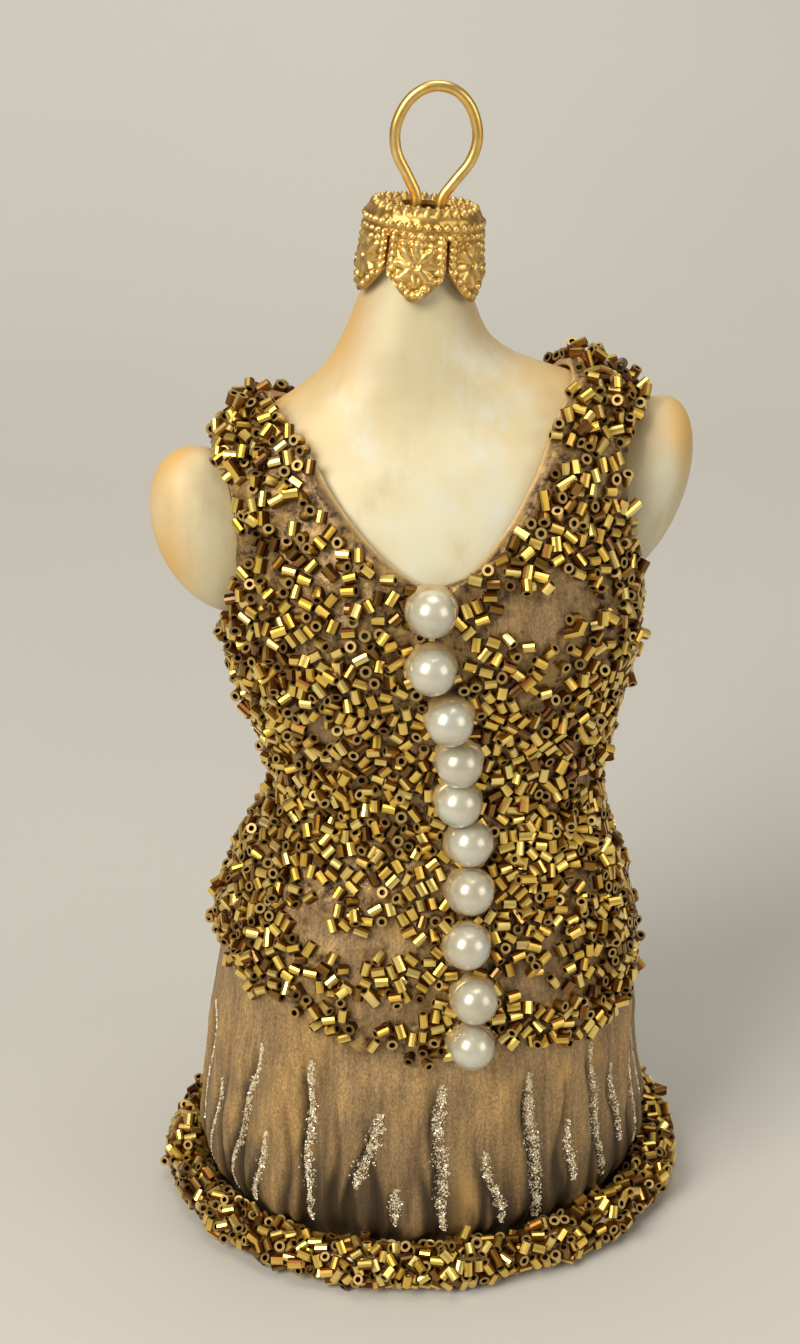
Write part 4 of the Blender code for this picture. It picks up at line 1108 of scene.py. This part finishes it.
def addLoop():
    # wire of round section along a Catmull-Rom curve through the mirrored bends
    half = np.stack([loop["halfGap"], loop["height"]], axis=1)
    corners = np.concatenate([half * [-1, 1], [[0, loop["top"]]], half[::-1]])
    padded = np.concatenate([2 * corners[:1] - corners[1:2], corners, 2 * corners[-1:] - corners[-2:-1]])
    a, b, c, d = (padded[i : len(padded) - 3 + i, None] for i in range(4))
    t = np.linspace(0, 1, loop["steps"], endpoint=False)[None, :, None]
    square, cube = (2 * a - 5 * b + 4 * c - d) * t**2, (3 * b - 3 * c + d - a) * t**3
    route = 0.5 * (2 * b + (c - a) * t + square + cube)
    route = np.concatenate([route.reshape(-1, 2), corners[-1:]])
    ahead = unit(np.gradient(route, axis=0))
    side = np.stack([ahead[:, 1], -ahead[:, 0]], axis=1)
    around = np.arange(loop["sides"]) * 2 * np.pi / loop["sides"]
    radius = loop["wire"] / 2
    flat = route[:, None] + radius * np.cos(around)[None, :, None] * side[:, None]
    depth = radius * np.sin(around) + 0 * flat[..., 0]
    points, quads, ends = tube(np.stack([flat[..., 0], depth, flat[..., 1]], -1))
    points = onCap(points, loop["tilt"], loop["shift"])
    piece = makePiece("hangingLoop", points, [quads, ends], [wireGold], "loop", sharp=60)
    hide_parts("hanging_loop")


addCap()
addLoop()
print("cap and loop made")

# stage, light and camera, in metres
stage = {"floorHalf": 2.2, "wallAt": 0.75, "bend": 0.45, "wallTop": 1.2}
profile = [(-stage["floorHalf"], 0.0), (stage["wallAt"] - stage["bend"], 0.0)]
for angle in np.linspace(0, np.pi / 2, 14)[1:]:
    back = stage["wallAt"] - stage["bend"] * (1 - np.sin(angle))
    profile.append((back, stage["bend"] * (1 - np.cos(angle))))
profile.append((stage["wallAt"], stage["wallTop"]))
rows = np.array([[(x, y, z) for x in (-stage["floorHalf"], stage["floorHalf"])] for y, z in profile])
mesh = bpy.data.meshes.new("paperSweep")
mesh.from_pydata(rows.reshape(-1, 3).tolist(), [], gridQuads(len(profile), 2).tolist())
mesh.shade_smooth()
mesh.materials.append(rampPaint(
    "palePaper", 3.0, (0.3, (0.54, 0.535, 0.525)), (0.7, (0.58, 0.575, 0.565)), Roughness=0.85))
sweep = bpy.data.objects.new("paperSweep", mesh)
bpy.context.scene.collection.objects.link(sweep)

for name, at, target, size, power, colour in (
    ("window", (-0.42, -0.40, 0.50), (0, 0, 0.07), (0.35, 0.45), 6.0, (1.0, 0.94, 0.81)),
    ("fill", (0.55, -0.35, 0.30), (0, 0, 0.06), (0.4, 0.4), 1.5, (1.0, 0.93, 0.79)),
    ("top", (0.05, 0.05, 0.75), (0, 0, 0.05), (0.4, 0.4), 2.2, (1.0, 0.96, 0.85)),
    ("backdrop", (0.0, 0.45, 0.5), (0, 0.8, 0.15), (0.6, 0.3), 1.1, (1.0, 0.95, 0.84)),
):
    light = bpy.data.lights.new(name, "AREA")
    light.shape = "RECTANGLE"
    light.size, light.size_y = size
    light.energy = power
    light.color = colour
    lamp = bpy.data.objects.new(name, light)
    lamp.location = at
    lamp.rotation_euler = (Vector(target) - Vector(at)).to_track_quat("-Z", "Y").to_euler()
    bpy.context.scene.collection.objects.link(lamp)

world = bpy.data.worlds.new("room")
world.use_nodes = True
room = world.node_tree.nodes["Background"].inputs
room["Color"].default_value = (0.88, 0.81, 0.69, 1)
room["Strength"].default_value = 0.39
bpy.context.scene.world = world
bpy.context.scene.view_settings.view_transform = "Standard"
bpy.context.scene.view_settings.exposure = -0.35

# distances in millimetres, angles in degrees
view = {"azimuth": -4.3, "away": 229.0, "height": 166.0, "aim": (1.6, 0.0, 62.0), "roll": -0.74,
        "lens": 56.25, "shift": (-0.0214, 0.0384)}
azimuth = np.radians(view["azimuth"])
aim = Vector(view["aim"])
eye = Vector((aim.x + np.sin(azimuth) * view["away"], -np.cos(azimuth) * view["away"], view["height"]))
ahead = (aim - eye).normalized()
right = ahead.cross(Vector((0, 0, 1))).normalized()
up = right.cross(ahead)
turned = Matrix((right, up, -ahead)).transposed() @ Matrix.Rotation(np.radians(view["roll"]), 3, "Z")
camera = bpy.data.objects.new("camera", bpy.data.cameras.new("camera"))
camera.matrix_world = Matrix.Translation(eye * mm) @ turned.to_4x4()
camera.data.sensor_fit = "VERTICAL"
camera.data.sensor_height = 36.0
camera.data.lens = view["lens"]
camera.data.shift_x, camera.data.shift_y = view["shift"]
camera.data.clip_start = 0.01
bpy.context.scene.collection.objects.link(camera)
bpy.context.scene.camera = camera

for name, panel in panels.items():
    piece, flat, area = dressMade[name][0], panel["cut"], panel["area"]
